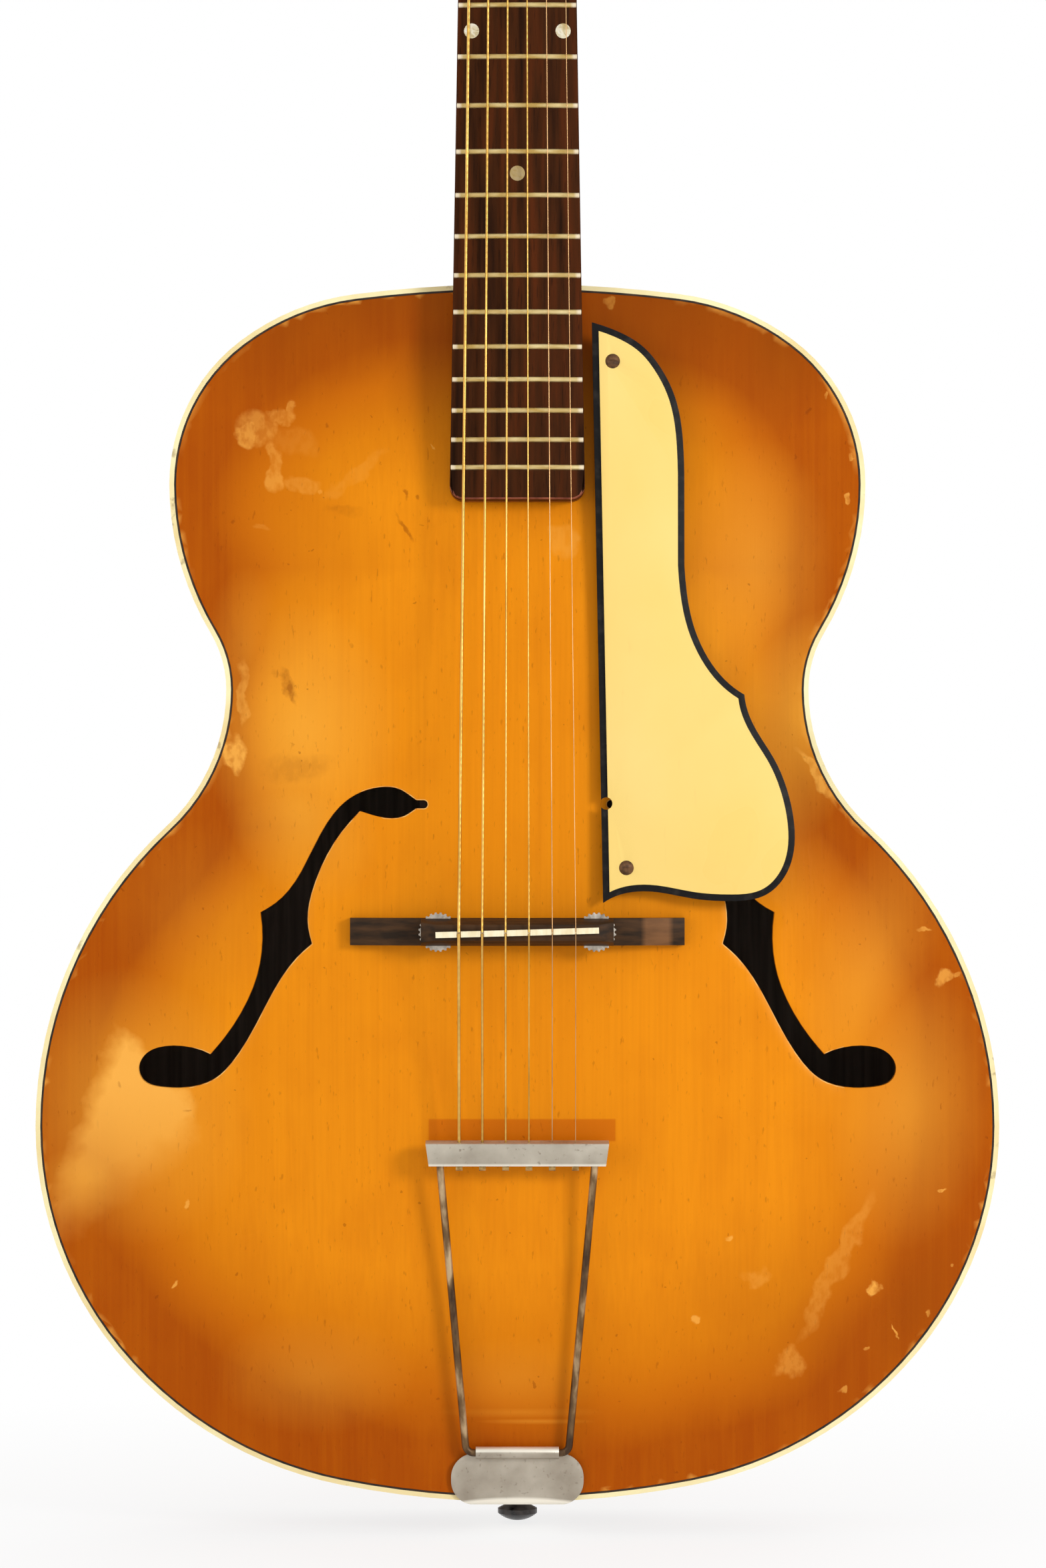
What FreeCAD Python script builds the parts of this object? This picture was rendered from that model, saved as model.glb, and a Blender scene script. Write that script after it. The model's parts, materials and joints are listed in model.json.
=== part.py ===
"""Archtop guitar standing on its tail: neck along +Z, front towards -Y, bass side towards -X.

Sizes are in millimetres. Heights called rise or height are measured forward from the front rim plane,
and places along Z from the lower edge of the body. The finished part is moved up so that the origin
lies in the middle of the strap button's rim.
"""
import FreeCAD
import Part
import math
import os

# Body outline: widths of the bouts and waist and where they lie along the centre line
body_length = 518.7
lower_bout = 410.5
lower_bout_place = 160.0
waist = 248.0
waist_place = 346.0
upper_bout = 296.5
upper_bout_place = 433.5
tail_radius = 390.0
tail_arc_width = 150.0
crown_radius = 555.0
crown_arc_width = 138.0
lower_corner_share = 1.10
lower_flank_share = 2.20
upper_flank_share = 0.38
upper_corner_share = 1.40

# Plates, ribs and edging
rim_depth = 85.0
plate_thickness = 4.5
rib_thickness = 2.4
glue_line = 0.1
arch_rise = 15.0
back_rise = 15.0
arch_margin = 8.0
arch_across_power = 3.0
arch_along_power = 4.0
arch_edge_power = 2.3
arch_end_power = 2.0
arch_column_shares = (0.0, 0.18, 0.36, 0.52, 0.66, 0.78, 0.88, 0.95, 1.0)
arch_rim_shares = (0.5, 1.5, 7.0)
arch_rows = 25
arch_end_zone = 36.0
outline_samples = 600
binding_width = 2.0
purfling_width = 0.8
purfling_depth = 1.5
lining_width = 6.0
lining_height = 9.0
block_half_width = 38.0
neck_block_length = 55.0
tail_block_length = 22.0
tone_bar_place = 36.0
tone_bar_width = 7.0
tone_bar_drop = 13.0
tone_bar_from = 95.0
tone_bar_to = 415.0
tone_bar_turn = 2.5

# Sound holes, as points across and along from the notch in the middle of the hole
hole_across = 98.5
hole_along = 244.5
hole_width = 121.0
hole_length = 126.6
hole_shares = (
    ((-0.083, 0.052), (0.045, 0.164), (0.145, 0.343), (0.220, 0.426), (0.322, 0.467), (0.405, 0.460),
     (0.470, 0.420), (0.482, 0.416)),
    ((0.482, 0.416), (0.455, 0.405), (0.420, 0.383), (0.370, 0.374), (0.310, 0.384), (0.262, 0.398)),
    ((0.262, 0.398), (0.168, 0.291), (0.100, 0.156), (0.074, 0.045), (0.090, -0.049)),
    ((0.090, -0.049), (0.000, -0.138), (-0.115, -0.333), (-0.186, -0.440), (-0.252, -0.501),
     (-0.345, -0.530), (-0.430, -0.530), (-0.500, -0.506), (-0.513, -0.470), (-0.485, -0.423),
     (-0.415, -0.400), (-0.330, -0.405), (-0.262, -0.427)),
    ((-0.262, -0.427), (-0.195, -0.350), (-0.132, -0.250), (-0.098, -0.170), (-0.078, -0.070), (-0.083, 0.052)),
)

# End pin
pin_rim_radius = 8.5
pin_rim_length = 2.0
pin_dome = 3.2
pin_under_head = 2.2
pin_waist_radius = 4.4
pin_waist_length = 5.8
pin_collar_radius = 6.2
pin_collar_length = 1.6
pin_shank_radius = 3.6
pin_shank_length = 18.0

# Neck and fretboard
scale_length = 625.0
fret_count = 20
nut_reach = 348.3
nut_width = 43.0
board_end_width = 57.2
board_overhang = 93.4
board_thickness = 6.0
board_radius = 320.0
board_corner_radius = 6.0
neck_pitch = 3.2
glue_height = 12.0
neck_depth_at_nut = 15.0
neck_depth_at_heel = 18.0
support_thickness = 5.6
heel_depths = (0.0, 14.0, 32.0, 58.0, 90.0)
heel_half_widths = (26.0, 25.5, 22.0, 17.0, 13.0)
heel_lengths = (72.0, 46.0, 30.0, 22.0, 17.0)
heel_bury = 12.0
tenon_width = 20.0
tenon_root_width = 26.0
tenon_length = 16.0
tenon_depth = 62.0
fret_crown_width = 2.3
fret_crown_height = 1.1
fret_tang_width = 0.6
fret_tang_depth = 2.0
fret_inset = 0.4
dot_radius = 3.2
dot_depth = 1.5
double_dot_place = 19.4
side_dot_radius = 1.0
single_dot_frets = (3, 5, 7, 12)
double_dot_fret = 9
nut_thickness = 5.0
nut_crown = 2.6

# Headstock
head_tilt = 13.0
head_thickness = 14.0
head_length = 178.0
head_throat_length = 32.0
head_ear_width = 63.0
head_top_width = 77.0
head_shoulder_place = 148.0
veneer_thickness = 1.5

# Strings, from the sixth to the first
string_names = ("6", "5", "4", "3", "2", "1")
string_radii = (0.68, 0.54, 0.42, 0.32, 0.21, 0.16)
string_spread_nut = 36.5
string_spread_bridge = 49.0
string_clearance = 0.25
string_gap = 0.5
string_over_board_nut = 2.0
ball_radius = 1.4
ball_length = 2.8

# Bridge
bridge_place = 243.4
bridge_length = 141.4
bridge_thickness = 11.5
bridge_end_height = 5.0
bridge_flat_width = 84.0
bridge_top_height = 22.5
foot_gap_width = 46.0
foot_gap_height = 2.4
post_spacing = 66.6
bridge_post_radius = 2.0
bridge_post_sink = 5.5
bridge_post_reach = 9.6
wheel_radius = 8.3
wheel_thickness = 3.0
wheel_drop = 1.5
wheel_grooves = 24
wheel_groove_radius = 0.7
running_clearance = 0.06
saddle_length = 81.0
saddle_top_thickness = 6.6
saddle_height = 38.6
saddle_end_drop = 3.0
insert_length = 68.5
insert_thickness = 2.5
insert_sink = 2.0
insert_show = 3.0
insert_slant = 1.6
notch_relief = 0.1
saddle_hole_depth = 6.4

# Pickguard: lower left corner of the cream face, its reach and its outline as shares of that reach
guard_left = 38.9
guard_low = 261.0
guard_width = 75.3
guard_length = 236.3
guard_shares = (
    ((-0.060, 1.000), (0.060, 0.985), (0.160, 0.965), (0.262, 0.926), (0.330, 0.882), (0.376, 0.805), (0.384, 0.745)),
    ((0.384, 0.745), (0.384, 0.580)),
    ((0.384, 0.580), (0.402, 0.520), (0.436, 0.470), (0.488, 0.428), (0.590, 0.378), (0.722, 0.342)),
    ((0.722, 0.342), (0.800, 0.275), (0.895, 0.226), (0.960, 0.176), (0.998, 0.118), (0.998, 0.075),
     (0.950, 0.030), (0.860, 0.002), (0.670, -0.008), (0.480, -0.004), (0.270, 0.008), (0.120, 0.008), (0.000, -0.004)),
    ((0.000, -0.004), (-0.060, 1.000)),
)
guard_border = 2.8
guard_face_thickness = 1.2
guard_base_thickness = 1.6
guard_low_height = 19.5
guard_top_height = 13.5
guard_notch_place = 297.5
guard_notch_radius = 2.6
guard_screw_points = ((40.3, 484.5), (46.0, 270.3))
guard_screw_head_radius = 3.1
guard_screw_head_height = 1.5
guard_screw_shank_radius = 1.5
guard_screw_reach = 4.5
guard_spacer_radius = 4.5

# Tailpiece
hinge_place = 21.6
hinge_height = 5.4
barrel_radius = 2.6
barrel_length = 35.3
wire_radius = 1.55
wire_bend_radius = 3.6
wire_shoulder = 0.5
wire_top_spread = 66.0
bracket_sheet = 1.0
bracket_width = 56.4
bracket_tab_reach = 21.2
bracket_corner_radius = 6.2
bracket_heel_radius = 4.0
bracket_bend_width = 53.6
bracket_leg_taper = 9.0
bracket_tab_lift = 0.2
bracket_tab_slope_height = 2.6
bracket_leg_reach = 62.0
bracket_leg_width = 34.0
bracket_clearance = 0.05
bracket_screw_head_radius = 3.2
bracket_screw_head_height = 1.6
bracket_screw_shank_radius = 1.5
bracket_screw_length = 14.0
bracket_screw_drops = (50.0, 56.0)
bracket_screw_spread = 22.0
bar_place = 145.5
bar_length = 9.6
bar_low_width = 74.6
bar_top_width = 77.2
bar_sheet = 1.4
bar_front = 3.8
bar_back = 3.4
wire_entry = 4.0

# Tuning machines, three on a plate on each side of the headstock
tuner_places = (38.0, 78.0, 118.0)
tuner_across = 22.5
tuner_plate_width = 17.0
tuner_plate_margin = 15.0
tuner_plate_thickness = 1.1
tuner_plate_offset = 2.6
post_radius = 3.0
post_waist_radius = 2.4
post_collar_radius = 4.0
post_show = 14.0
post_cap = 2.0
post_winding_zone = 6.5
post_string_hole_radius = 0.8
post_string_hole_margin = 0.6
bushing_flange_radius = 5.2
bushing_flange_thickness = 1.3
bushing_sleeve_radius = 4.0
bushing_sleeve_length = 7.0
gear_teeth = 14
gear_thickness = 3.0
gear_bore_radius = 1.9
worm_pitch = 2.0
worm_pitch_radius = 2.6
worm_addendum = 0.55
worm_dedendum = 0.75
worm_thread_length = 8.0
worm_steps_per_turn = 10
thread_root_share = 0.62
thread_tip_share = 0.24
thread_sink = 0.3
worm_plate_clearance = 0.5
worm_shaft_radius = 1.5
worm_side_play = 0.35
ear_thickness = 1.4
ear_width = 6.4
shaft_show = 9.0
button_length = 14.5
button_width = 19.0
button_thickness = 7.5
button_round = 2.4
gear_screw_head_radius = 2.8
gear_screw_head_height = 1.5
plate_screw_head_radius = 2.0
plate_screw_head_height = 1.0
plate_screw_shank_radius = 0.9
plate_screw_length = 7.0
winding_turns = 3
winding_gap = 0.5
head_string_gap = 0.4

# Room that every cutting tool runs past the piece it cuts
overrun = 20.0

rib_depth = rim_depth - 2 * plate_thickness
plate_skin = plate_thickness - glue_line
button_reach = bracket_sheet + bracket_clearance + pin_collar_length + pin_waist_length + pin_rim_length / 2
gear_pitch_radius = gear_teeth * worm_pitch / (2 * math.pi)
tuner_centre_distance = gear_pitch_radius + worm_pitch_radius


def vec(x, y, z):
    return FreeCAD.Vector(x, y, z)


def front(height):
    """Depth coordinate of a point that stands this far forward of the front rim plane."""
    return -rim_depth / 2 - height


def turned(shape, placement):
    moved = shape.copy()
    moved.Placement = placement.multiply(shape.Placement)
    return moved


def mirrored(shape):
    return shape.mirror(vec(0, 0, 0), vec(1, 0, 0))


def rod(start, end, radius):
    return Part.makeCylinder(radius, (end - start).Length, start, end - start)


def box(x_from, x_to, y_from, y_to, z_from, z_to):
    return Part.makeBox(x_to - x_from, y_to - y_from, z_to - z_from, vec(x_from, y_from, z_from))


def polygon(points):
    return Part.makePolygon(points + [points[0]])


def prism(wire, y_from, y_to):
    """A plan outline, drawn at zero depth, made solid between two depths."""
    face = Part.Face(wire)
    face.translate(vec(0, y_from, 0))
    return face.extrude(vec(0, y_to - y_from, 0))


def arc_edge(start, corner, end):
    """The arc that touches both legs of a corner whose legs are equal."""
    weight = start.distanceToPoint(end) / (2 * start.distanceToPoint(corner))
    middle = (start + corner * (2 * weight) + end) * (1 / (2 + 2 * weight))
    return Part.Arc(start, middle, end).toShape()


def biarc_corners(start, start_way, end, end_way, share):
    """Two corners whose arcs lead smoothly from one point and direction to another."""
    span = end - start
    mixed = start_way * share + end_way
    square = 2 * share * (start_way.dot(end_way) - 1)
    linear = -2 * span.dot(mixed)
    constant = span.dot(span)
    if abs(square) < 1e-9:
        last_leg = -constant / linear
    else:
        root = math.sqrt(linear * linear - 4 * square * constant)
        last_leg = max((-linear + root) / (2 * square), (-linear - root) / (2 * square))
    first_leg = share * last_leg
    first = start + start_way * first_leg
    last = end - end_way * last_leg
    joint = first + (last - first) * (first_leg / (first_leg + last_leg))
    return [(start, first, joint), (joint, last, end)]


def flipped(point):
    return vec(-point.x, point.y, point.z)


def closed_wire(edges):
    return Part.Wire(Part.sortEdges(edges)[0])


def symmetric_wire(corners):
    """A closed outline from the arcs of its right half."""
    edges = [arc_edge(*corner) for corner in corners]
    edges += [arc_edge(*[flipped(point) for point in corner]) for corner in corners]
    return closed_wire(edges)


def curve_wire(runs):
    """A closed outline from runs of points: two points make a line, more make a smooth curve."""
    edges = []
    for run in runs:
        if len(run) == 2:
            edges.append(Part.LineSegment(run[0], run[1]).toShape())
        else:
            curve = Part.BSplineCurve()
            curve.interpolate(run)
            edges.append(curve.toShape())
    return closed_wire(edges)


def run_normals(run):
    """Outward normals of a run of a clockwise outline, one at each of its points."""
    if len(run) == 2:
        ways = [(run[1] - run[0]).normalize()] * 2
    else:
        curve = Part.BSplineCurve()
        curve.interpolate(run)
        ways = [curve.tangent(curve.parameter(point))[0] for point in run]
    return [vec(-way.z, 0, way.x) for way in ways]


def bordered_runs(runs, border):
    """Runs of the outline that lies a border's width outside another, with mitred corners."""
    normals = [run_normals(run) for run in runs]
    wider = []
    for number, run in enumerate(runs):
        own = normals[number]
        before = normals[number - 1][-1]
        after = normals[(number + 1) % len(runs)][0]
        start = run[0] + (before + own[0]) * (border / (1 + before.dot(own[0])))
        end = run[-1] + (own[-1] + after) * (border / (1 + after.dot(own[-1])))
        middle = [point + normal * border for point, normal in zip(run[1:-1], own[1:-1])]
        wider.append([start] + middle + [end])
    return wider


def rounded_path(points, radius):
    """Straight runs joined by tangent arcs of one radius."""
    edges = []
    last = points[0]
    for before, corner, after in zip(points, points[1:], points[2:]):
        way_in = (corner - before).normalize()
        way_out = (after - corner).normalize()
        half_turn = way_in.getAngle(way_out) / 2
        leg = radius * math.tan(half_turn)
        arc_start = corner - way_in * leg
        arc_end = corner + way_out * leg
        edges.append(Part.LineSegment(last, arc_start).toShape())
        edges.append(arc_edge(arc_start, corner, arc_end))
        last = arc_end
    edges.append(Part.LineSegment(last, points[-1]).toShape())
    return Part.Wire(edges)


def body_corners():
    """Arcs of the right half of the body, from the tail round both bouts to the neck."""
    tail_angle = math.asin(tail_arc_width / 2 / tail_radius)
    crown_angle = math.asin(crown_arc_width / 2 / crown_radius)
    tail_end = vec(tail_arc_width / 2, 0, tail_radius * (1 - math.cos(tail_angle)))
    crown_start = vec(crown_arc_width / 2, 0, body_length - crown_radius * (1 - math.cos(crown_angle)))
    up = vec(0, 0, 1)
    stations = (
        (tail_end, vec(math.cos(tail_angle), 0, math.sin(tail_angle))),
        (vec(lower_bout / 2, 0, lower_bout_place), up),
        (vec(waist / 2, 0, waist_place), up),
        (vec(upper_bout / 2, 0, upper_bout_place), up),
        (crown_start, vec(-math.cos(crown_angle), 0, math.sin(crown_angle))),
    )
    shares = (lower_corner_share, lower_flank_share, upper_flank_share, upper_corner_share)
    corners = [(vec(0, 0, 0), vec(tail_radius * math.tan(tail_angle / 2), 0, 0), tail_end)]
    for (start, start_way), (end, end_way), share in zip(stations, stations[1:], shares):
        corners += biarc_corners(start, start_way, end, end_way, share)
    crown_corner = vec(crown_radius * math.tan(crown_angle / 2), 0, body_length)
    corners.append((crown_start, crown_corner, vec(0, 0, body_length)))
    return corners


def body_wire(inset):
    wire = symmetric_wire(body_corners())
    if inset == 0:
        return wire
    return wire.makeOffset2D(-inset)


def body_prism(inset, y_from, y_to):
    return prism(body_wire(inset), y_from, y_to)


def body_ring(outer_inset, inner_inset, y_from, y_to):
    return body_prism(outer_inset, y_from, y_to).cut(body_prism(inner_inset, y_from - overrun, y_to + overrun))


def arch_sampler():
    """A function that gives the half width of the arched field at any place along the body."""
    points = [point for point in body_wire(arch_margin).discretize(Number=outline_samples) if point.x > 0]
    points.sort(key=lambda point: point.z)

    def half_width(place):
        for low, high in zip(points, points[1:]):
            if low.z <= place < high.z:
                share = (place - low.z) / (high.z - low.z)
                return low.x + share * (high.x - low.x)
        return 0

    return half_width


def arch_height(across, z, rise):
    """Rise of an arched plate: broad in the middle and flat where it meets the rim."""
    along = min(abs(2 * z - body_length) / (body_length - 2 * arch_margin), 1)
    across_share = (1 - across ** arch_across_power) ** arch_edge_power
    return rise * across_share * (1 - along ** arch_along_power) ** arch_end_power


def arch_face(half_width, rise, way):
    """The outer face of an arched plate, a little larger than the body. Way is -1 in front, 1 behind."""
    margin = overrun / 2
    rim = way * rim_depth / 2
    grid = []
    for row in range(arch_rows):
        bend = math.sin(math.pi * (row / (arch_rows - 1) - 1 / 2))
        z = body_length / 2 + bend * (body_length / 2 + margin)
        field = half_width(min(max(z, arch_end_zone), body_length - arch_end_zone))
        right = [vec(share * field, rim + way * arch_height(share, z, rise), z) for share in arch_column_shares]
        right += [vec(field + arch_margin * share, rim, z) for share in arch_rim_shares]
        left = [flipped(point) for point in reversed(right[1:])]
        grid.append(left + right)
    degree = 3
    row_knots, row_counts = clamped_knots(len(grid), degree)
    column_knots, column_counts = clamped_knots(len(grid[0]), degree)
    surface = Part.BSplineSurface()
    surface.buildFromPolesMultsKnots(grid, row_counts, column_counts, row_knots, column_knots,
                                     False, False, degree, degree)
    return surface.toShape()


def clamped_knots(count, degree):
    """Even knots, and how often each counts, of a curve that starts and ends on its outer poles."""
    spans = count - degree
    return list(range(spans + 1)), [degree + 1] + [1] * (spans - 1) + [degree + 1]


def swept(face, way):
    """A face made solid along a direction, with its faces turned outwards."""
    solid = face.extrude(way)
    if solid.Volume < 0:
        solid.reverse()
    return solid


def behind_face(face, way, depth):
    """Everything from an arched face inwards, to a depth."""
    return swept(face, vec(0, -way * depth, 0))


def before_inner_face(face, way):
    """Everything from the inner face of a plate outwards."""
    inner = face.copy()
    inner.translate(vec(0, -way * plate_skin, 0))
    return swept(inner, vec(0, way * (arch_rise + back_rise + overrun), 0))


def plate(face, rise, way):
    """An arched plate: even thickness, cut to the body inside the binding, a glue line off the ribs."""
    low, high = sorted((0, way * (rim_depth / 2 + rise + overrun)))
    return behind_face(face, way, plate_skin).common(body_prism(binding_width, low, high))


def sound_hole_wire():
    runs = []
    for shares in hole_shares:
        run = [vec(-hole_across + across * hole_width, 0, hole_along + along * hole_length) for across, along in shares]
        runs.append(run)
    return curve_wire(runs)


def make_top_plate(face):
    top = plate(face, arch_rise, -1)
    hole = prism(sound_hole_wire(), front(arch_rise + overrun), 0)
    groove_width = purfling_width + glue_line
    groove_floor = front(-purfling_depth - glue_line)
    groove = body_ring(binding_width - overrun, binding_width + groove_width, front(overrun), groove_floor)
    return top.cut(hole).cut(mirrored(hole)).cut(groove)


def make_ribs(tenon, pin_hole):
    ring = body_ring(0, rib_thickness, -rib_depth / 2, rib_depth / 2).cut(tenon).cut(pin_hole)
    reach = lower_bout / 2 + overrun
    half = box(0, reach, -rim_depth, rim_depth, -overrun, body_length + overrun)
    return Part.makeCompound([ring.common(half), ring.common(mirrored(half))])


def make_block(z_from, z_to, front_face, back_face):
    """A glued block between the plates, fitted to the ribs and to both arches."""
    reach = rim_depth / 2 + max(arch_rise, back_rise)
    block = box(-block_half_width, block_half_width, -reach, reach, z_from, z_to)
    block = block.common(body_prism(rib_thickness, -reach - overrun, reach + overrun))
    return block.cut(before_inner_face(front_face, -1)).cut(before_inner_face(back_face, 1))


def make_linings(blocks):
    """Strips in the corners between ribs and plates, broken by the two blocks."""
    outer = rib_thickness
    inner = rib_thickness + lining_width
    front_strip = body_ring(outer, inner, -rib_depth / 2, -rib_depth / 2 + lining_height)
    back_strip = body_ring(outer, inner, rib_depth / 2 - lining_height, rib_depth / 2)
    strips = Part.makeCompound([front_strip, back_strip])
    for block in blocks:
        strips = strips.cut(block)
    return strips


def make_tone_bars(front_face):
    """Two slim bars under the top, shaped to the inside of its arch."""
    bars = []
    middle = vec(0, 0, (tone_bar_from + tone_bar_to) / 2)
    for side in (-1, 1):
        x = side * tone_bar_place
        half = tone_bar_width / 2
        bar = box(x - half, x + half, front(arch_rise), front(-plate_thickness) + tone_bar_drop - arch_rise / 2,
                  tone_bar_from, tone_bar_to)
        bar.rotate(middle, vec(0, 1, 0), side * tone_bar_turn)
        bars.append(bar.cut(before_inner_face(front_face, -1)))
    return Part.makeCompound(bars)


def make_end_pin():
    """A turned button: hidden shank, collar on the bracket, waist, undercut, rim and dome."""
    foot = -bracket_sheet - bracket_clearance
    collar = foot - pin_collar_length
    head = collar - pin_waist_length + pin_under_head
    rim_top = collar - pin_waist_length
    rim_low = rim_top - pin_rim_length
    tip = vec(0, 0, rim_low - pin_dome)
    lines = Part.makePolygon([
        vec(0, 0, pin_shank_length),
        vec(pin_shank_radius, 0, pin_shank_length),
        vec(pin_shank_radius, 0, foot),
        vec(pin_collar_radius, 0, foot),
        vec(pin_collar_radius, 0, collar),
        vec(pin_waist_radius, 0, collar),
        vec(pin_waist_radius, 0, head),
        vec(pin_rim_radius, 0, rim_top),
        vec(pin_rim_radius, 0, rim_low),
    ])
    ball = (pin_rim_radius ** 2 + pin_dome ** 2) / (2 * pin_dome)
    half_radius = pin_rim_radius / 2
    shoulder = vec(half_radius, 0, tip.z + ball - math.sqrt(ball ** 2 - half_radius ** 2))
    dome = Part.Arc(vec(pin_rim_radius, 0, rim_low), shoulder, tip).toShape()
    axis = Part.LineSegment(tip, vec(0, 0, pin_shank_length)).toShape()
    profile = Part.Face(closed_wire(lines.Edges + [dome, axis]))
    return swept_round(profile)


def swept_round(profile):
    """A profile beside the Z axis turned once round it."""
    solid = profile.revolve(vec(0, 0, 0), vec(0, 0, 1), 360)
    if solid.Volume < 0:
        solid.reverse()
    return solid


def pin_bore():
    return Part.makeCylinder(pin_shank_radius, pin_shank_length + overrun, vec(0, 0, -overrun))


def neck_placement():
    return FreeCAD.Placement(vec(0, front(glue_height), body_length), FreeCAD.Rotation(vec(1, 0, 0), -neck_pitch))


def head_placement():
    """Frame of the headstock's front face, tilted back just past the nut."""
    tilt = FreeCAD.Placement(vec(0, 0, nut_reach + nut_thickness), FreeCAD.Rotation(vec(1, 0, 0), -head_tilt))
    return neck_placement().multiply(tilt)


def board_half_width(z):
    """Half width of the fretboard at a distance from the body joint towards the nut."""
    share = (nut_reach - z) / (nut_reach + board_overhang)
    return (nut_width + share * (board_end_width - nut_width)) / 2


def board_sag(x):
    return board_radius - math.sqrt(board_radius ** 2 - x ** 2)


def fret_place(number):
    """Distance of a fret from the body joint towards the nut."""
    return nut_reach - scale_length * (1 - 2 ** (-number / 12))


def board_plan(z_to):
    """Tapered plan of the fretboard with rounded corners at the bridge end."""
    low = -board_overhang
    half_low = board_half_width(low)
    half_top = board_half_width(z_to)
    turn = board_corner_radius
    half_turn = board_half_width(low + turn)
    edges = [
        Part.LineSegment(vec(-half_top, 0, z_to), vec(half_top, 0, z_to)).toShape(),
        Part.LineSegment(vec(half_top, 0, z_to), vec(half_turn, 0, low + turn)).toShape(),
        Part.LineSegment(vec(half_low - turn, 0, low), vec(turn - half_low, 0, low)).toShape(),
        Part.LineSegment(vec(-half_turn, 0, low + turn), vec(-half_top, 0, z_to)).toShape(),
    ]
    diagonal = turn * (1 - math.sqrt(1 / 2))
    for side in (-1, 1):
        middle = vec(side * (half_low - diagonal), 0, low + diagonal)
        edges.append(Part.Arc(vec(side * half_turn, 0, low + turn), middle,
                              vec(side * (half_low - turn), 0, low)).toShape())
    return closed_wire(edges)


def board_cylinder(lift):
    """A long cylinder whose front is the cambered playing surface, raised by a lift."""
    start = vec(0, board_radius - board_thickness, -board_overhang - overrun)
    return Part.makeCylinder(board_radius + lift, nut_reach + board_overhang + 2 * overrun, start)


def board_blank():
    return prism(board_plan(nut_reach), -board_thickness, 0).common(board_cylinder(0))


def make_frets():
    """Twenty frets: a crown bent to the board's camber and a straight tang in its slot."""
    frets = []
    axis = vec(0, board_radius - board_thickness, 0)
    crown_middle = -board_thickness - fret_crown_height
    for number in range(1, fret_count + 1):
        z = fret_place(number)
        half = board_half_width(z) - fret_inset
        angle = math.degrees(math.asin(half / board_radius))
        left = vec(0, -board_thickness, z - fret_crown_width / 2)
        right = vec(0, -board_thickness, z + fret_crown_width / 2)
        crown = Part.Arc(left, vec(0, crown_middle, z), right).toShape()
        base = Part.LineSegment(right, left).toShape()
        profile = Part.Face(Part.Wire([crown, base]))
        profile.rotate(axis, vec(0, 0, 1), -angle)
        bead = profile.revolve(axis, vec(0, 0, 1), 2 * angle)
        frets.append(bead.fuse(fret_tang(number)))
    return frets


def fret_tang(number):
    z = fret_place(number)
    half = board_half_width(z) - fret_inset
    floor = board_thickness - board_sag(half) - fret_tang_depth
    tang = box(-half, half, -board_thickness, -floor, z - fret_tang_width / 2, z + fret_tang_width / 2)
    return tang.common(board_cylinder(0))


def make_dots(blank):
    """Round markers let into the board between frets, with small ones in its treble edge."""
    spots = [(0, number) for number in single_dot_frets]
    spots += [(-double_dot_place, double_dot_fret), (double_dot_place, double_dot_fret)]
    dots = []
    for x, number in spots:
        z = (fret_place(number - 1) + fret_place(number)) / 2
        floor = -board_thickness + board_sag(x) + dot_depth
        peg = rod(vec(x, floor, z), vec(x, floor - dot_depth - overrun, z), dot_radius)
        dots.append(peg.common(blank))
    for number in single_dot_frets + (double_dot_fret,):
        z = (fret_place(number - 1) + fret_place(number)) / 2
        edge = board_half_width(z)
        depth = -(board_thickness - board_sag(edge)) / 2
        peg = rod(vec(edge - dot_depth, depth, z), vec(edge + overrun, depth, z), side_dot_radius)
        dots.append(peg.common(blank))
    return Part.makeCompound(dots)


def make_fretboard(blank, dots):
    board = blank.cut(dots)
    slots = [fret_tang(number) for number in range(1, fret_count + 1)]
    return board.cut(Part.makeCompound(slots))


def half_oval(half_width, depth, place, flat):
    """A D-shaped section. Flat is the coordinate of its straight side, depth the reach from there."""
    left = vec(-half_width, 0, 0)
    right = vec(half_width, 0, 0)
    tip = vec(0, depth, 0)
    centre = vec(0, 0, 0)
    quarter = math.pi / 2
    if depth > half_width:
        oval = Part.Ellipse(tip, left, centre)
        turn = -quarter
    else:
        oval = Part.Ellipse(right, tip, centre)
        turn = 0
    first = Part.ArcOfEllipse(oval, turn, turn + quarter).toShape()
    second = Part.ArcOfEllipse(oval, turn + quarter, turn + 2 * quarter).toShape()
    base = Part.LineSegment(left, right).toShape()
    wire = Part.Wire([base, first, second])
    wire.translate(vec(0, flat, place))
    return wire


def neck_shaft():
    """The D-shaped shaft from inside the heel to under the nut."""
    top = nut_reach + nut_thickness
    sections = [
        half_oval(board_half_width(0), neck_depth_at_heel, 0, 0),
        half_oval(board_half_width(top), neck_depth_at_nut, top, 0),
    ]
    return Part.makeLoft(sections, True, True)


def neck_heel():
    """The heel, lofted through sections that shrink towards its cap."""
    sections = []
    for depth, half_width, length in zip(heel_depths, heel_half_widths, heel_lengths):
        wire = half_oval(half_width, length + heel_bury, 0, 0)
        wire.rotate(vec(0, 0, 0), vec(1, 0, 0), 90)
        wire.translate(vec(0, depth, -heel_bury))
        sections.append(wire)
    return Part.makeLoft(sections, True, False)


def tenon():
    """The dovetail that slides into the neck block."""
    top = body_length + heel_bury / 2
    root = body_length - tenon_length
    half = tenon_width / 2
    root_half = tenon_root_width / 2
    wire = polygon([vec(-half, 0, top), vec(-half, 0, body_length), vec(-root_half, 0, root),
                    vec(root_half, 0, root), vec(half, 0, body_length), vec(half, 0, top)])
    return prism(wire, -rib_depth / 2, -rib_depth / 2 + tenon_depth)


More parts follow.
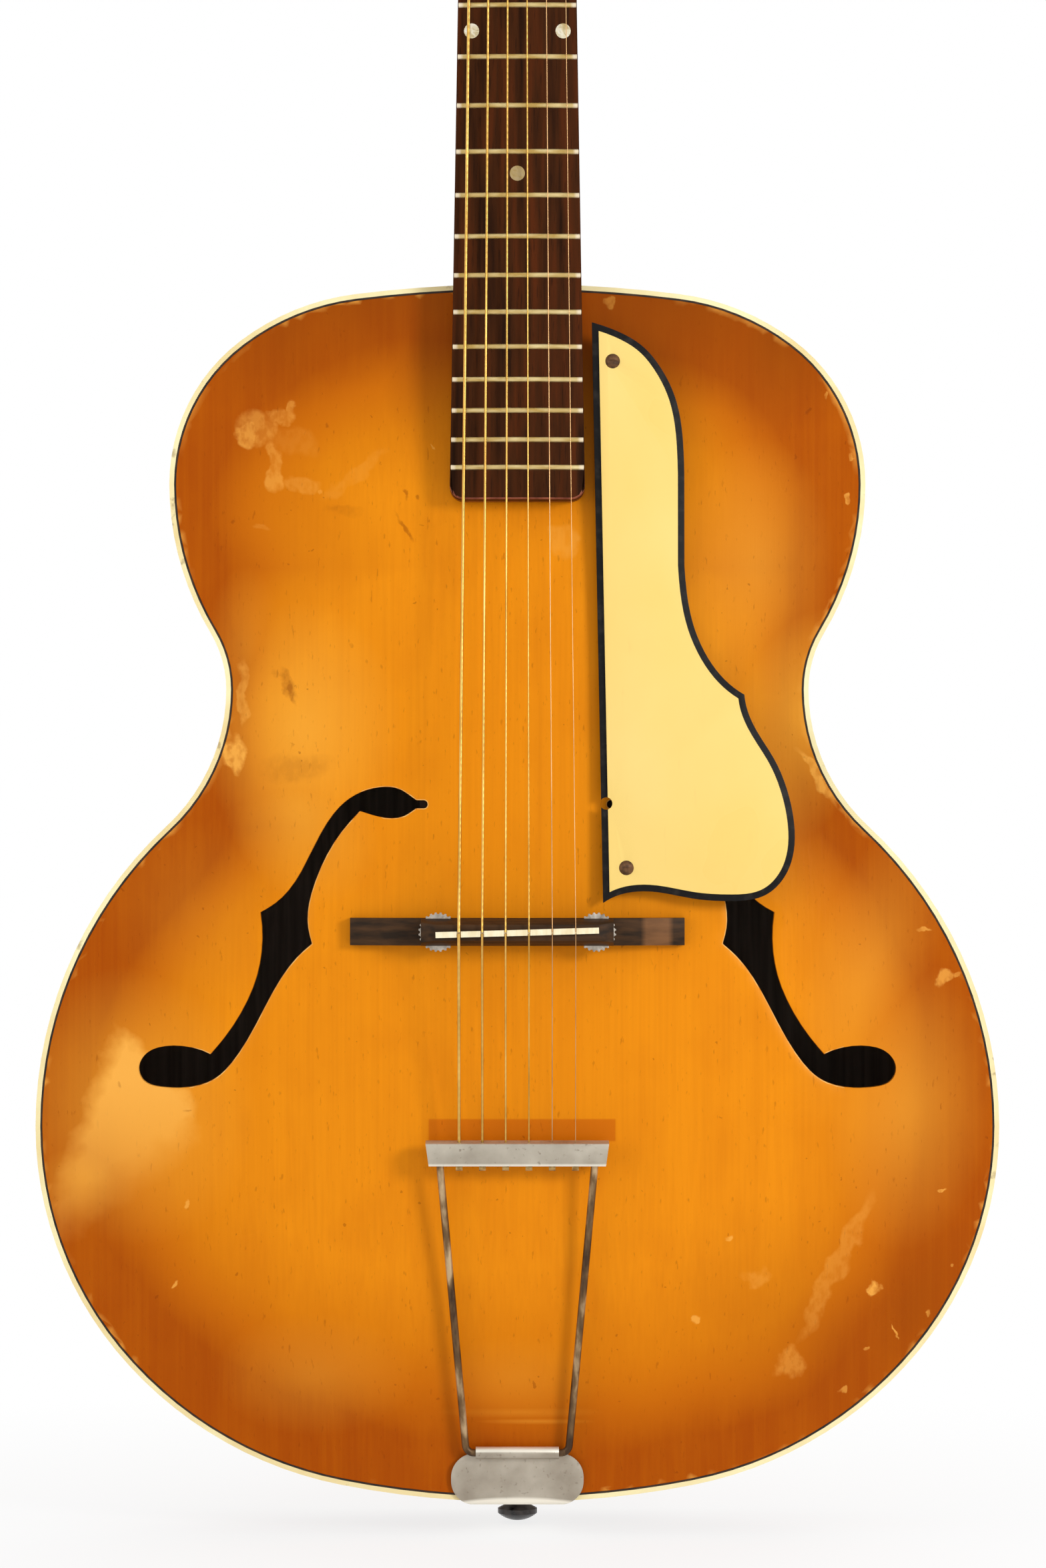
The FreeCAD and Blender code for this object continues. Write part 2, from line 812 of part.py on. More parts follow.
def head_corners():
    """Arcs of the right half of the headstock above its throat."""
    throat = vec(nut_width / 2, 0, 0)
    ear = vec(head_ear_width / 2, 0, head_throat_length)
    shoulder = vec(head_top_width / 2, 0, head_shoulder_place)
    side_way = (shoulder - ear).normalize()
    corners = biarc_corners(throat, vec(0, 0, 1), ear, side_way, 1)
    crest = biarc_corners(shoulder, side_way, vec(0, 0, head_length), vec(-1, 0, 0), 1)
    return corners, crest, ear, shoulder


def head_wire():
    corners, crest, ear, shoulder = head_corners()
    edges = [arc_edge(*corner) for corner in corners + crest]
    edges += [arc_edge(*[flipped(point) for point in corner]) for corner in corners + crest]
    edges.append(Part.LineSegment(ear, shoulder).toShape())
    edges.append(Part.LineSegment(flipped(ear), flipped(shoulder)).toShape())
    edges.append(Part.LineSegment(vec(-nut_width / 2, 0, 0), vec(nut_width / 2, 0, 0)).toShape())
    return closed_wire(edges)


def tuner_bores():
    """Bores through the headstock for the posts and their bushings."""
    bores = []
    for side in (-1, 1):
        for z in tuner_places:
            start = vec(side * tuner_across, -veneer_thickness - overrun, z)
            bores.append(rod(start, vec(side * tuner_across, head_thickness + overrun, z), bushing_sleeve_radius))
    return Part.makeCompound(bores)


def make_neck(tenon_solid, body_tool, front_tool):
    """Shaft, heel, board support and headstock in one piece of wood, fitted to the body."""
    support = prism(board_plan(heel_bury), 0, support_thickness)
    wood = neck_shaft().fuse([neck_heel(), support])
    wood = turned(wood, neck_placement())
    head = turned(prism(head_wire(), 0, head_thickness), head_placement())
    wood = wood.fuse(head).cut(body_tool).cut(front_tool)
    wood = wood.cut(turned(tuner_bores(), head_placement())).cut(plate_screw_set(1)).cut(plate_screw_set(-1))
    return wood.fuse(tenon_solid).removeSplitter()


def make_veneer():
    sheet = prism(head_wire(), -veneer_thickness, 0)
    return turned(sheet.cut(tuner_bores()), head_placement())


def string_across(index, spread):
    return spread * (index / (len(string_names) - 1) - 1 / 2)


def nut_point(index, z):
    """Middle of a string over the nut, in the frame of the neck."""
    x = string_across(index, string_spread_nut)
    return vec(x, -board_thickness + board_sag(x) - string_over_board_nut, z)


def saddle_point(index, z):
    """Middle of a string over the bridge."""
    x = string_across(index, string_spread_bridge)
    return vec(x, front(saddle_height - board_sag(x)), z)


def make_nut():
    """A bone nut: cambered top, rounded back edge, six slots."""
    half = nut_width / 2
    low = nut_reach
    high = nut_reach + nut_thickness
    block = box(-half, half, -board_thickness - nut_crown, 0, low, high).common(board_cylinder(nut_crown_lift()))
    slots = []
    for index, radius in enumerate(string_radii):
        slots.append(rod(nut_point(index, low - overrun), nut_point(index, high + overrun), radius))
    return turned(block.cut(Part.makeCompound(slots)), neck_placement())


def nut_crown_lift():
    return string_over_board_nut + max(string_radii) / 2


def make_strings():
    """Speaking lengths, from the nut to the bridge."""
    strings = []
    for index, radius in enumerate(string_radii):
        start = neck_placement().multVec(nut_point(index, nut_reach - string_gap))
        end = saddle_point(index, bridge_place + string_gap / 2)
        strings.append(rod(start, end, radius))
    return Part.makeCompound(strings)


def tail_frame():
    """Frame of the tailpiece: its axis runs from the hinge to the strings on the bridge."""
    lean = math.degrees(math.atan2(saddle_height - hinge_height, bridge_place - hinge_place))
    return FreeCAD.Placement(vec(0, front(hinge_height), hinge_place), FreeCAD.Rotation(vec(1, 0, 0), lean))


def bar_low():
    """Distance of the bar's lower edge from the hinge."""
    return (bar_place - hinge_place) / math.cos(math.atan2(saddle_height - hinge_height, bridge_place - hinge_place))


def tail_string_line(index):
    """Ends of a tail length: at the ball under the bar and on the bridge."""
    x = string_across(index, string_spread_bridge)
    start = tail_frame().multVec(vec(x, 0, bar_low() - ball_radius))
    return start, saddle_point(index, bridge_place - string_gap / 2)


def make_string_tails():
    """Tail lengths with the ball ends that hold them under the bar."""
    tails = []
    for index, radius in enumerate(string_radii):
        x = string_across(index, string_spread_bridge)
        low = bar_low() - ball_radius
        ball = rod(vec(x - ball_length / 2, 0, low), vec(x + ball_length / 2, 0, low), ball_radius)
        start, end = tail_string_line(index)
        tails.append(turned(ball, tail_frame()).fuse(rod(start, end, radius)))
    return Part.makeCompound(tails)


def make_bar():
    """The folded tray that the strings hook into, open at the back."""
    low = bar_low()
    high = low + bar_length

    def tray(inset, y_from, y_to):
        low_half = bar_low_width / 2 - inset
        top_half = bar_top_width / 2 - inset
        wire = polygon([vec(-low_half, 0, low + inset), vec(low_half, 0, low + inset),
                        vec(top_half, 0, high - inset), vec(-top_half, 0, high - inset)])
        return prism(wire, y_from, y_to)

    bar = tray(0, -bar_front, bar_back).cut(tray(bar_sheet, bar_sheet - bar_front, bar_back + overrun))
    bar = turned(bar, tail_frame())
    holes = []
    for index, radius in enumerate(string_radii):
        start, end = tail_string_line(index)
        holes.append(rod(start, end, radius + string_clearance))
    return bar.cut(Part.makeCompound(holes)).cut(make_trapeze())


def make_trapeze():
    """The bent wire: its lower leg is the hinge pin and its arms end inside the bar."""
    corner = barrel_length / 2 + wire_shoulder + wire_bend_radius
    arm_top = vec(wire_top_spread / 2, 0, bar_low() + wire_entry)
    points = [flipped(arm_top), vec(-corner, 0, 0), vec(corner, 0, 0), arm_top]
    path = rounded_path(points, wire_bend_radius)
    way = (points[1] - points[0]).normalize()
    section = Part.Wire(Part.makeCircle(wire_radius, points[0], way))
    return turned(path.makePipeShell([section], True, False), tail_frame())


def bracket_screw_points():
    points = [(0, bracket_screw_drops[1])]
    points += [(side * bracket_screw_spread / 2, bracket_screw_drops[0]) for side in (-1, 1)]
    return points


def bracket_plan():
    """Outline of the bracket's tab from the front: round upper corners, and sides drawn in to the bend."""
    half = bracket_width / 2
    bend_half = bracket_bend_width / 2
    top = bracket_tab_reach
    turn = bracket_corner_radius
    heel = bracket_heel_radius
    right = [vec(bend_half, 0, -overrun), vec(bend_half, 0, 0), vec(half, 0, heel), vec(half, 0, top - turn),
             vec(half, 0, top), vec(half - turn, 0, top)]
    left = [flipped(point) for point in right]
    edges = []
    for side in (right, left):
        edges.append(Part.LineSegment(side[0], side[1]).toShape())
        edges.append(Part.LineSegment(side[1], side[2]).toShape())
        edges.append(Part.LineSegment(side[2], side[3]).toShape())
        edges.append(arc_edge(side[3], side[4], side[5]))
    edges.append(Part.LineSegment(right[-1], left[-1]).toShape())
    edges.append(Part.LineSegment(left[0], right[0]).toShape())
    return closed_wire(edges)


def make_bracket(front_tool):
    """Sheet bracket: a tab on the top, a leg down the tail with screw holes, and a rolled hinge barrel."""
    lean = math.atan2(bracket_tab_slope_height - bracket_tab_lift, hinge_place)
    low = -bracket_clearance
    tab_line = [
        vec(0, front(bracket_tab_lift), low),
        vec(0, front(bracket_tab_slope_height), hinge_place),
        vec(0, front(bracket_tab_slope_height + bracket_sheet), hinge_place),
        vec(0, front(bracket_tab_lift + bracket_sheet), low - bracket_sheet * math.sin(lean)),
        vec(0, front(bracket_tab_lift), low - bracket_sheet),
    ]
    half = bracket_width / 2
    tab = Part.Face(polygon(tab_line)).extrude(vec(bracket_width, 0, 0))
    tab.translate(vec(-half, 0, 0))
    tab = tab.common(prism(bracket_plan(), front(overrun), 0)).cut(front_tool)
    tongue_half = barrel_length / 2
    tongue = Part.Face(polygon(tab_line)).extrude(vec(barrel_length, 0, 0))
    tongue.translate(vec(-tongue_half, 0, 0))
    tongue = tongue.common(box(-tongue_half, tongue_half, front(overrun), 0, hinge_place / 2, hinge_place))
    tongue = tongue.cut(front_tool)
    bend_half = bracket_bend_width / 2
    leg_half = bracket_leg_width / 2
    taper = bracket_leg_taper
    leg_low = front(-bracket_leg_reach)
    leg_face = [vec(-bend_half, front(bracket_tab_lift), low), vec(bend_half, front(bracket_tab_lift), low),
                vec(bend_half, front(-taper), low), vec(leg_half, front(-2 * taper), low),
                vec(leg_half, leg_low, low), vec(-leg_half, leg_low, low),
                vec(-leg_half, front(-2 * taper), low), vec(-bend_half, front(-taper), low)]
    leg = Part.Face(polygon(leg_face)).extrude(vec(0, 0, -bracket_sheet))
    hinge_start = vec(-barrel_length / 2, front(hinge_height), hinge_place)
    hinge_end = vec(barrel_length / 2, front(hinge_height), hinge_place)
    bore = rod(hinge_start, hinge_end, wire_radius + running_clearance)
    bracket = tab.fuse([tongue, leg, rod(hinge_start, hinge_end, barrel_radius)]).cut(bore).cut(pin_bore())
    for x, drop in bracket_screw_points():
        y = front(-drop)
        bracket = bracket.cut(rod(vec(x, y, -overrun), vec(x, y, overrun), bracket_screw_shank_radius))
    return bracket


def make_bracket_screws():
    screws = []
    top = -bracket_clearance - bracket_sheet
    for x, drop in bracket_screw_points():
        y = front(-drop)
        head = Part.makeSphere(bracket_screw_head_radius, vec(x, y, top))
        head = head.common(box(x - overrun, x + overrun, y - overrun, y + overrun, top - overrun, top))
        squash = box(x - overrun, x + overrun, y - overrun, y + overrun, top - bracket_screw_head_height, top)
        shank = rod(vec(x, y, top), vec(x, y, bracket_screw_length), bracket_screw_shank_radius)
        screws.append(head.common(squash).fuse(shank))
    return Part.makeCompound(screws)


def make_bridge_base(front_tool):
    """The base: two feet fitted to the arch, a flat for the posts and wings that fall to the ends."""
    half = bridge_length / 2
    flat = bridge_flat_width / 2
    end_top = arch_rise + bridge_end_height / 2
    profile = [vec(-half, front(0), 0), vec(-half, front(end_top), 0), vec(-flat, front(bridge_top_height), 0),
               vec(flat, front(bridge_top_height), 0), vec(half, front(end_top), 0), vec(half, front(0), 0)]
    block = Part.Face(polygon(profile)).extrude(vec(0, 0, bridge_thickness))
    block.translate(vec(0, 0, bridge_place - bridge_thickness / 2))
    gap_half = foot_gap_width / 2
    gap_top = arch_rise + foot_gap_height
    gap = Part.Arc(vec(-gap_half, front(0), 0), vec(0, front(gap_top), 0), vec(gap_half, front(0), 0)).toShape()
    gap_wire = Part.Wire([gap, Part.LineSegment(vec(gap_half, front(0), 0), vec(-gap_half, front(0), 0)).toShape()])
    gap_tool = Part.Face(gap_wire).extrude(vec(0, 0, body_length))
    return block.cut(front_tool).cut(gap_tool).cut(make_bridge_posts())


def post_line(side, low, high):
    x = side * post_spacing / 2
    return vec(x, front(low), bridge_place), vec(x, front(high), bridge_place)


def make_bridge_posts():
    posts = []
    for side in (-1, 1):
        start, end = post_line(side, bridge_top_height - bridge_post_sink, bridge_top_height + bridge_post_reach)
        posts.append(rod(start, end, bridge_post_radius))
    return Part.makeCompound(posts)


def make_wheel(side):
    """A thumbwheel under the saddle, grooved round its edge."""
    low = bridge_top_height + wheel_drop
    start, end = post_line(side, low, low + wheel_thickness)
    wheel = rod(start, end, wheel_radius)
    bore_start, bore_end = post_line(side, low - overrun, low + overrun)
    tools = [rod(bore_start, bore_end, bridge_post_radius + running_clearance)]
    for number in range(wheel_grooves):
        angle = 2 * math.pi * number / wheel_grooves
        shift = vec(wheel_radius * math.cos(angle), 0, wheel_radius * math.sin(angle))
        tools.append(rod(bore_start + shift, bore_end + shift, wheel_groove_radius))
    return wheel.cut(Part.makeCompound(tools))


def saddle_low():
    return bridge_top_height + wheel_drop + wheel_thickness


def insert_blank():
    """The light insert: a thin slanting strip with a cambered top."""
    half = insert_length / 2
    low = saddle_height - insert_show - insert_sink
    high_end = saddle_height - board_sag(half)
    edges = [
        Part.LineSegment(vec(-half, front(low), 0), vec(half, front(low), 0)).toShape(),
        Part.LineSegment(vec(half, front(low), 0), vec(half, front(high_end), 0)).toShape(),
        Part.Arc(vec(half, front(high_end), 0), vec(0, front(saddle_height), 0),
                 vec(-half, front(high_end), 0)).toShape(),
        Part.LineSegment(vec(-half, front(high_end), 0), vec(-half, front(low), 0)).toShape(),
    ]
    strip = Part.Face(Part.Wire(edges)).extrude(vec(0, 0, insert_thickness))
    strip.translate(vec(0, 0, bridge_place - insert_thickness / 2))
    strip.rotate(vec(0, 0, bridge_place), vec(0, 1, 0), -insert_slant)
    return strip


def make_insert():
    """The insert with a notch for each string."""
    notches = []
    for index, radius in enumerate(string_radii):
        middle = saddle_point(index, bridge_place)
        half = radius + string_clearance
        notches.append(box(middle.x - half, middle.x + half, middle.y - overrun, middle.y + half + notch_relief,
                           bridge_place - overrun, bridge_place + overrun))
    return insert_blank().cut(notches)


def make_saddle():
    """The saddle: a bar that narrows to the top, with post holes below and a groove for the insert."""
    half = saddle_length / 2
    low = saddle_low()
    top = saddle_height - insert_show
    profile = [vec(-half, front(low), 0), vec(half, front(low), 0), vec(half, front(top - saddle_end_drop), 0),
               vec(insert_length / 2, front(top), 0), vec(-insert_length / 2, front(top), 0),
               vec(-half, front(top - saddle_end_drop), 0)]
    block = Part.Face(polygon(profile)).extrude(vec(0, 0, bridge_thickness))
    block.translate(vec(0, 0, bridge_place - bridge_thickness / 2))
    thick = bridge_thickness / 2
    thin = saddle_top_thickness / 2
    taper = [vec(-half, front(low), bridge_place - thick), vec(-half, front(low), bridge_place + thick),
             vec(-half, front(top), bridge_place + thin), vec(-half, front(top), bridge_place - thin)]
    block = block.common(Part.Face(polygon(taper)).extrude(vec(saddle_length, 0, 0)))
    for side in (-1, 1):
        start, end = post_line(side, low - overrun, low + saddle_hole_depth)
        block = block.cut(rod(start, end, bridge_post_radius + running_clearance))
    return block.cut(insert_blank())


def guard_placement():
    """Frame of the guard's underside: tilted so that it climbs towards the bridge."""
    rise = guard_low_height - guard_top_height
    tilt = math.degrees(math.atan2(rise, guard_length))
    return FreeCAD.Placement(vec(0, front(guard_low_height), guard_low), FreeCAD.Rotation(vec(1, 0, 0), -tilt))


def guard_runs():
    runs = []
    for shares in guard_shares:
        runs.append([vec(guard_left + across * guard_width, 0, along * guard_length) for across, along in shares])
    return runs


def make_pickguard():
    """A laminated guard: a dark base that shows as a border and a light face, notched on its left edge."""
    runs = guard_runs()
    base = prism(curve_wire(bordered_runs(runs, guard_border)), -guard_base_thickness, 0)
    sheet = prism(curve_wire(runs), -guard_base_thickness - guard_face_thickness, -guard_base_thickness)
    notch_z = guard_notch_place - guard_low
    notch_x = guard_left - guard_border / 2
    tools = [rod(vec(notch_x, -overrun, notch_z), vec(notch_x, overrun, notch_z), guard_notch_radius)]
    for x, place in guard_screw_points:
        z = place - guard_low
        tools.append(rod(vec(x, -overrun, z), vec(x, overrun, z), guard_screw_shank_radius))
    cutter = Part.makeCompound(tools)
    return turned(Part.makeCompound([base.cut(cutter), sheet.cut(cutter)]), guard_placement())


def make_guard_screws():
    screws = []
    seat = -guard_base_thickness - guard_face_thickness
    for x, place in guard_screw_points:
        z = place - guard_low
        radius = guard_screw_head_radius
        height = guard_screw_head_height
        ball_radius_here = (radius ** 2 + height ** 2) / (2 * height)
        head = Part.makeSphere(ball_radius_here, vec(x, seat - height + ball_radius_here, z))
        head = head.common(box(x - overrun, x + overrun, seat - overrun, seat, z - overrun, z + overrun))
        slot = box(x - overrun, x + overrun, seat - overrun, seat - height / 2,
                   z - guard_screw_shank_radius / 4, z + guard_screw_shank_radius / 4)
        shank = rod(vec(x, seat, z), vec(x, guard_screw_reach, z), guard_screw_shank_radius)
        screws.append(head.cut(slot).fuse(shank))
    return turned(Part.makeCompound(screws), guard_placement())


def make_guard_spacers(front_tool, screws):
    """Short pillars that carry the guard on the top."""
    pillars = []
    for x, place in guard_screw_points:
        z = place - guard_low
        pillar = turned(rod(vec(x, 0, z), vec(x, guard_low_height, z), guard_spacer_radius), guard_placement())
        pillars.append(pillar.cut(front_tool).cut(screws))
    return Part.makeCompound(pillars)


def worm_depth():
    """Depth of the worm's axis and of the middle of the gear behind the headstock's face."""
    return head_thickness + tuner_plate_thickness + worm_plate_clearance + worm_pitch_radius + worm_addendum


def gear_low():
    return worm_depth() - gear_thickness / 2


def make_tuner_plate():
    """One strap with two folded ears for each machine."""
    half = tuner_plate_width / 2
    middle = tuner_across - tuner_plate_offset / 2
    low = tuner_places[0] - tuner_plate_margin
    high = tuner_places[-1] + tuner_plate_margin
    strap = box(middle - half, middle + half, head_thickness, head_thickness + tuner_plate_thickness, low, high)
    strap = strap.makeFillet(half / 2, [edge for edge in strap.Edges if edge.Vertexes[0].Y != edge.Vertexes[-1].Y])
    ears = []
    tools = []
    for z in tuner_places:
        worm_z = z - tuner_centre_distance
        tools.append(rod(vec(tuner_across, 0, z), vec(tuner_across, overrun, z), post_radius + running_clearance))
        tools.append(rod(vec(0, worm_depth(), worm_z), vec(lower_bout, worm_depth(), worm_z),
                         worm_shaft_radius + running_clearance))
        for x in ear_places():
            ear = box(x, x + ear_thickness, head_thickness, worm_depth(), worm_z - ear_width / 2,
                      worm_z + ear_width / 2)
            crown = rod(vec(x, worm_depth(), worm_z), vec(x + ear_thickness, worm_depth(), worm_z), ear_width / 2)
            ears.append(ear.fuse(crown))
    plate_solid = strap.fuse(ears).cut(Part.makeCompound(tools))
    return plate_solid.cut(screws_in_plate()).removeSplitter()


def ear_places():
    """Inner faces of the two ears of a machine, across the headstock."""
    reach = worm_thread_length / 2 + worm_side_play
    return (tuner_across - reach - ear_thickness, tuner_across + reach)


def plate_screw_places():
    gaps = [(low + high) / 2 for low, high in zip(tuner_places, tuner_places[1:])]
    ends = [tuner_places[0] - tuner_plate_margin, tuner_places[-1] + tuner_plate_margin]
    inset = plate_screw_head_radius * 2
    return [ends[0] + inset] + gaps + [ends[1] - inset]


def screws_in_plate():
    """The plate's screws, in the frame of the headstock."""
    screws = []
    seat = head_thickness + tuner_plate_thickness
    x = tuner_across + tuner_plate_offset
    for z in plate_screw_places():
        head = rod(vec(x, seat, z), vec(x, seat + plate_screw_head_height, z), plate_screw_head_radius)
        shank = rod(vec(x, seat, z), vec(x, seat - plate_screw_length, z), plate_screw_shank_radius)
        screws.append(head.fuse(shank))
    return Part.makeCompound(screws)


def plate_screw_set(side):
    screws = screws_in_plate()
    if side < 0:
        screws = mirrored(screws)
    return turned(screws, head_placement())


def make_bushing(z):
    """Flanged sleeve pressed into the face of the headstock."""
    face = -veneer_thickness
    flange = rod(vec(tuner_across, face, z), vec(tuner_across, face - bushing_flange_thickness, z),
                 bushing_flange_radius)
    sleeve = rod(vec(tuner_across, face, z), vec(tuner_across, face + bushing_sleeve_length, z), bushing_sleeve_radius)
    bore = rod(vec(tuner_across, -overrun, z), vec(tuner_across, overrun, z), post_radius + running_clearance)
    return flange.fuse(sleeve).cut(bore)


def winding_depth():
    """Middle of the winding zone of a post, in front of the headstock."""
    return -veneer_thickness - bushing_flange_thickness - post_show + post_cap + post_winding_zone / 2


def make_post(z):
    """Post with a waist for the winding, a collar behind the plate and a seat for the gear."""
    tip = -veneer_thickness - bushing_flange_thickness - post_show
    waist_front = tip + post_cap
    waist_back = waist_front + post_winding_zone
    collar = head_thickness + tuner_plate_thickness + running_clearance
    end = worm_depth() + gear_thickness / 2
    lean = post_radius - post_waist_radius
    outline = [(0, tip), (post_radius - lean, tip), (post_radius, tip + lean), (post_radius, waist_front - lean),
               (post_waist_radius, waist_front), (post_waist_radius, waist_back), (post_radius, waist_back + lean),
               (post_radius, collar), (post_collar_radius, collar), (post_collar_radius, gear_low()),
               (gear_bore_radius, gear_low()), (gear_bore_radius, end), (0, end)]
    profile = Part.Face(polygon([vec(radius, depth, 0) for radius, depth in outline]))
    post = profile.revolve(vec(0, 0, 0), vec(0, 1, 0), 360)
    post.translate(vec(tuner_across, 0, z))
    hole_depth = waist_front + post_string_hole_margin + post_string_hole_radius
    hole_start = vec(tuner_across - overrun, hole_depth, z)
    hole_end = vec(tuner_across + overrun, hole_depth, z)
    screw = rod(vec(tuner_across, end, z), vec(tuner_across, end + gear_screw_head_height, z), gear_screw_head_radius)
    return post.cut(rod(hole_start, hole_end, post_string_hole_radius)), screw


def winding_path(radius, wire):
    """A climbing coil of half turns, each a tilted half circle that meets the next one smoothly."""
    pitch = 2 * wire + winding_gap
    edges = []
    for half in range(2 * winding_turns):
        way = 1 if half % 2 == 0 else -1
        low = pitch * half / 2
        start = vec(way * radius, low, 0)
        middle = vec(0, low + pitch / 4, way * radius)
        end = vec(-way * radius, low + pitch / 2, 0)
        edges.append(Part.Arc(start, middle, end).toShape())
    return Part.Wire(edges)


def make_winding(index, z):
    """The turns of a string round its post, in the waist."""
    wire = string_radii[index]
    radius = post_waist_radius + wire + running_clearance
    path = winding_path(radius, wire)
    section = Part.Wire(Part.makeCircle(wire, vec(radius, 0, 0), vec(0, 0, 1)))
    coil = path.makePipeShell([section], True, False)
    coil.translate(vec(tuner_across, winding_depth() - (2 * wire + winding_gap) * winding_turns / 2, z))
    return coil


def winding_self_gap(index):
    """Least gap between two turns of a winding, measured on points of its path."""
    wire = string_radii[index]
    radius = post_waist_radius + wire + running_clearance
    points = winding_path(radius, wire).discretize(Number=winding_turns * 48)
    apart = 30
    gaps = [first.distanceToPoint(second) for number, first in enumerate(points) for second in points[number + apart:]]
    return min(gaps) - 2 * wire


def make_gear(z):
    """A gear with teeth that slant with the worm's thread, round the end of the post."""
    lead = math.atan2(worm_pitch, 2 * math.pi * worm_pitch_radius)
    root = gear_pitch_radius - worm_dedendum
    tip = gear_pitch_radius + worm_addendum
    root_half = worm_pitch * (1 - thread_tip_share) * thread_root_share / 2
    tip_half = worm_pitch * thread_tip_share / 2
    slant = gear_thickness * math.tan(lead)
    low = gear_low()
    profile = [vec(-root_half, low, thread_sink - root), vec(root_half, low, thread_sink - root),
               vec(tip_half, low, -tip), vec(-tip_half, low, -tip)]
    tooth = Part.Face(polygon(profile)).extrude(vec(-slant, gear_thickness, 0))
    tooth.translate(vec(slant / 2, 0, 0))
    teeth = []
    for number in range(gear_teeth):
        copy = tooth.copy()
        copy.rotate(vec(0, 0, 0), vec(0, 1, 0), 360 * number / gear_teeth)
        teeth.append(copy)
    core = rod(vec(0, low, 0), vec(0, low + gear_thickness, 0), root)
    gear = core.fuse(teeth).cut(rod(vec(0, 0, 0), vec(0, low + overrun, 0), gear_bore_radius))
    gear.translate(vec(tuner_across, 0, z))
    return gear


def make_worm(z):
    """Shaft with a one-start thread between the ears, running out to the button."""
    root = worm_pitch_radius - worm_dedendum
    tip = worm_pitch_radius + worm_addendum
    root_half = worm_pitch * thread_root_share * (1 - thread_tip_share) / 2
    tip_half = worm_pitch * thread_tip_share / 2
    turns = (worm_thread_length - 2 * root_half) / worm_pitch
    steps = int(turns * worm_steps_per_turn)
    sections = []
    for step in range(steps + 1):
        angle = 2 * math.pi * (step - steps / 2) / worm_steps_per_turn
        middle = worm_pitch * (angle / (2 * math.pi) + 1 / 2)
        corners = []
        for along, radius in ((-root_half, root - thread_sink), (-tip_half, tip), (tip_half, tip),
                              (root_half, root - thread_sink)):
            corners.append(vec(middle + along, -radius * math.sin(angle), radius * math.cos(angle)))
        sections.append(polygon(corners))
    thread = Part.makeLoft(sections, True, True)
    half = worm_thread_length / 2
    thread = thread.common(box(-half, half, -tip - overrun, tip + overrun, -tip - overrun, tip + overrun))
    core = rod(vec(-half, 0, 0), vec(half, 0, 0), root)
    inner = ear_places()[0] - tuner_across - ear_thickness
    shaft = rod(vec(inner, 0, 0), vec(button_start() + button_length / 2 - tuner_across, 0, 0), worm_shaft_radius)
    worm = core.fuse([shaft, thread])
    worm.translate(vec(tuner_across, worm_depth(), z - tuner_centre_distance))
    return worm


def button_start():
    """Distance of the buttons' inner ends from the headstock's centre line."""
    return head_top_width / 2 + shaft_show / 2


def make_button(z):
    """A flat oval button with rounded edges on the end of the worm's shaft."""
    start = button_start()
    middle = start + button_length / 2
    half = button_width / 2
    neck_half = worm_shaft_radius * 2
    worm_z = z - tuner_centre_distance
    widest = vec(middle, 0, half)
    corners = biarc_corners(vec(start, 0, neck_half), vec(0, 0, 1), widest, vec(1, 0, 0), 1)
    corners += biarc_corners(widest, vec(1, 0, 0), vec(start + button_length, 0, 0), vec(0, 0, -1), 1)
    edges = [arc_edge(*corner) for corner in corners]
    edges += [arc_edge(*[vec(point.x, 0, -point.z) for point in corner]) for corner in corners]
    edges.append(Part.LineSegment(vec(start, 0, -neck_half), vec(start, 0, neck_half)).toShape())
    button = prism(closed_wire(edges), -button_thickness / 2, button_thickness / 2)
    rims = [edge for edge in button.Edges if edge.BoundBox.YLength < button_thickness / 2]
    button = button.makeFillet(button_round, rims)
    button.translate(vec(0, worm_depth(), worm_z))
    shaft = rod(vec(0, worm_depth(), worm_z), vec(middle, worm_depth(), worm_z), worm_shaft_radius)
    return button.cut(shaft)


def tuner_slot(index):
    """Side and place of the machine of a string: the outer strings are nearest the nut."""
    if index < len(tuner_places):
        return -1, tuner_places[index]
    return 1, tuner_places[len(string_names) - 1 - index]


def seated(shape, side):
    """A machine's piece moved from the treble side's drawing to its own side of the headstock."""
    if side < 0:
        shape = mirrored(shape)
    return turned(shape, head_placement())


def make_string_heads():
    """Head lengths: through the nut's slot and down to the first turn on the post."""
    heads = []
    to_head = head_placement().inverse().multiply(neck_placement())
    for index, radius in enumerate(string_radii):
        side, z = tuner_slot(index)
        front_edge = to_head.multVec(nut_point(index, nut_reach))
        back_edge = to_head.multVec(nut_point(index, nut_reach + nut_thickness))
        coil = post_waist_radius + radius + running_clearance
        target = vec(side * (tuner_across - coil), winding_depth(), z)
        way = (target - back_edge).normalize()
        end = target - way * (head_string_gap + coil)
        heads.append(rod(front_edge, back_edge, radius).fuse([Part.makeSphere(radius, back_edge),
                                                              rod(back_edge, end, radius)]))
    return turned(Part.makeCompound(heads), head_placement())


def save(name, shape):
    lifted = shape.copy()
    lifted.translate(vec(0, 0, button_reach))
    lifted.exportStep("parts/" + name + ".step")


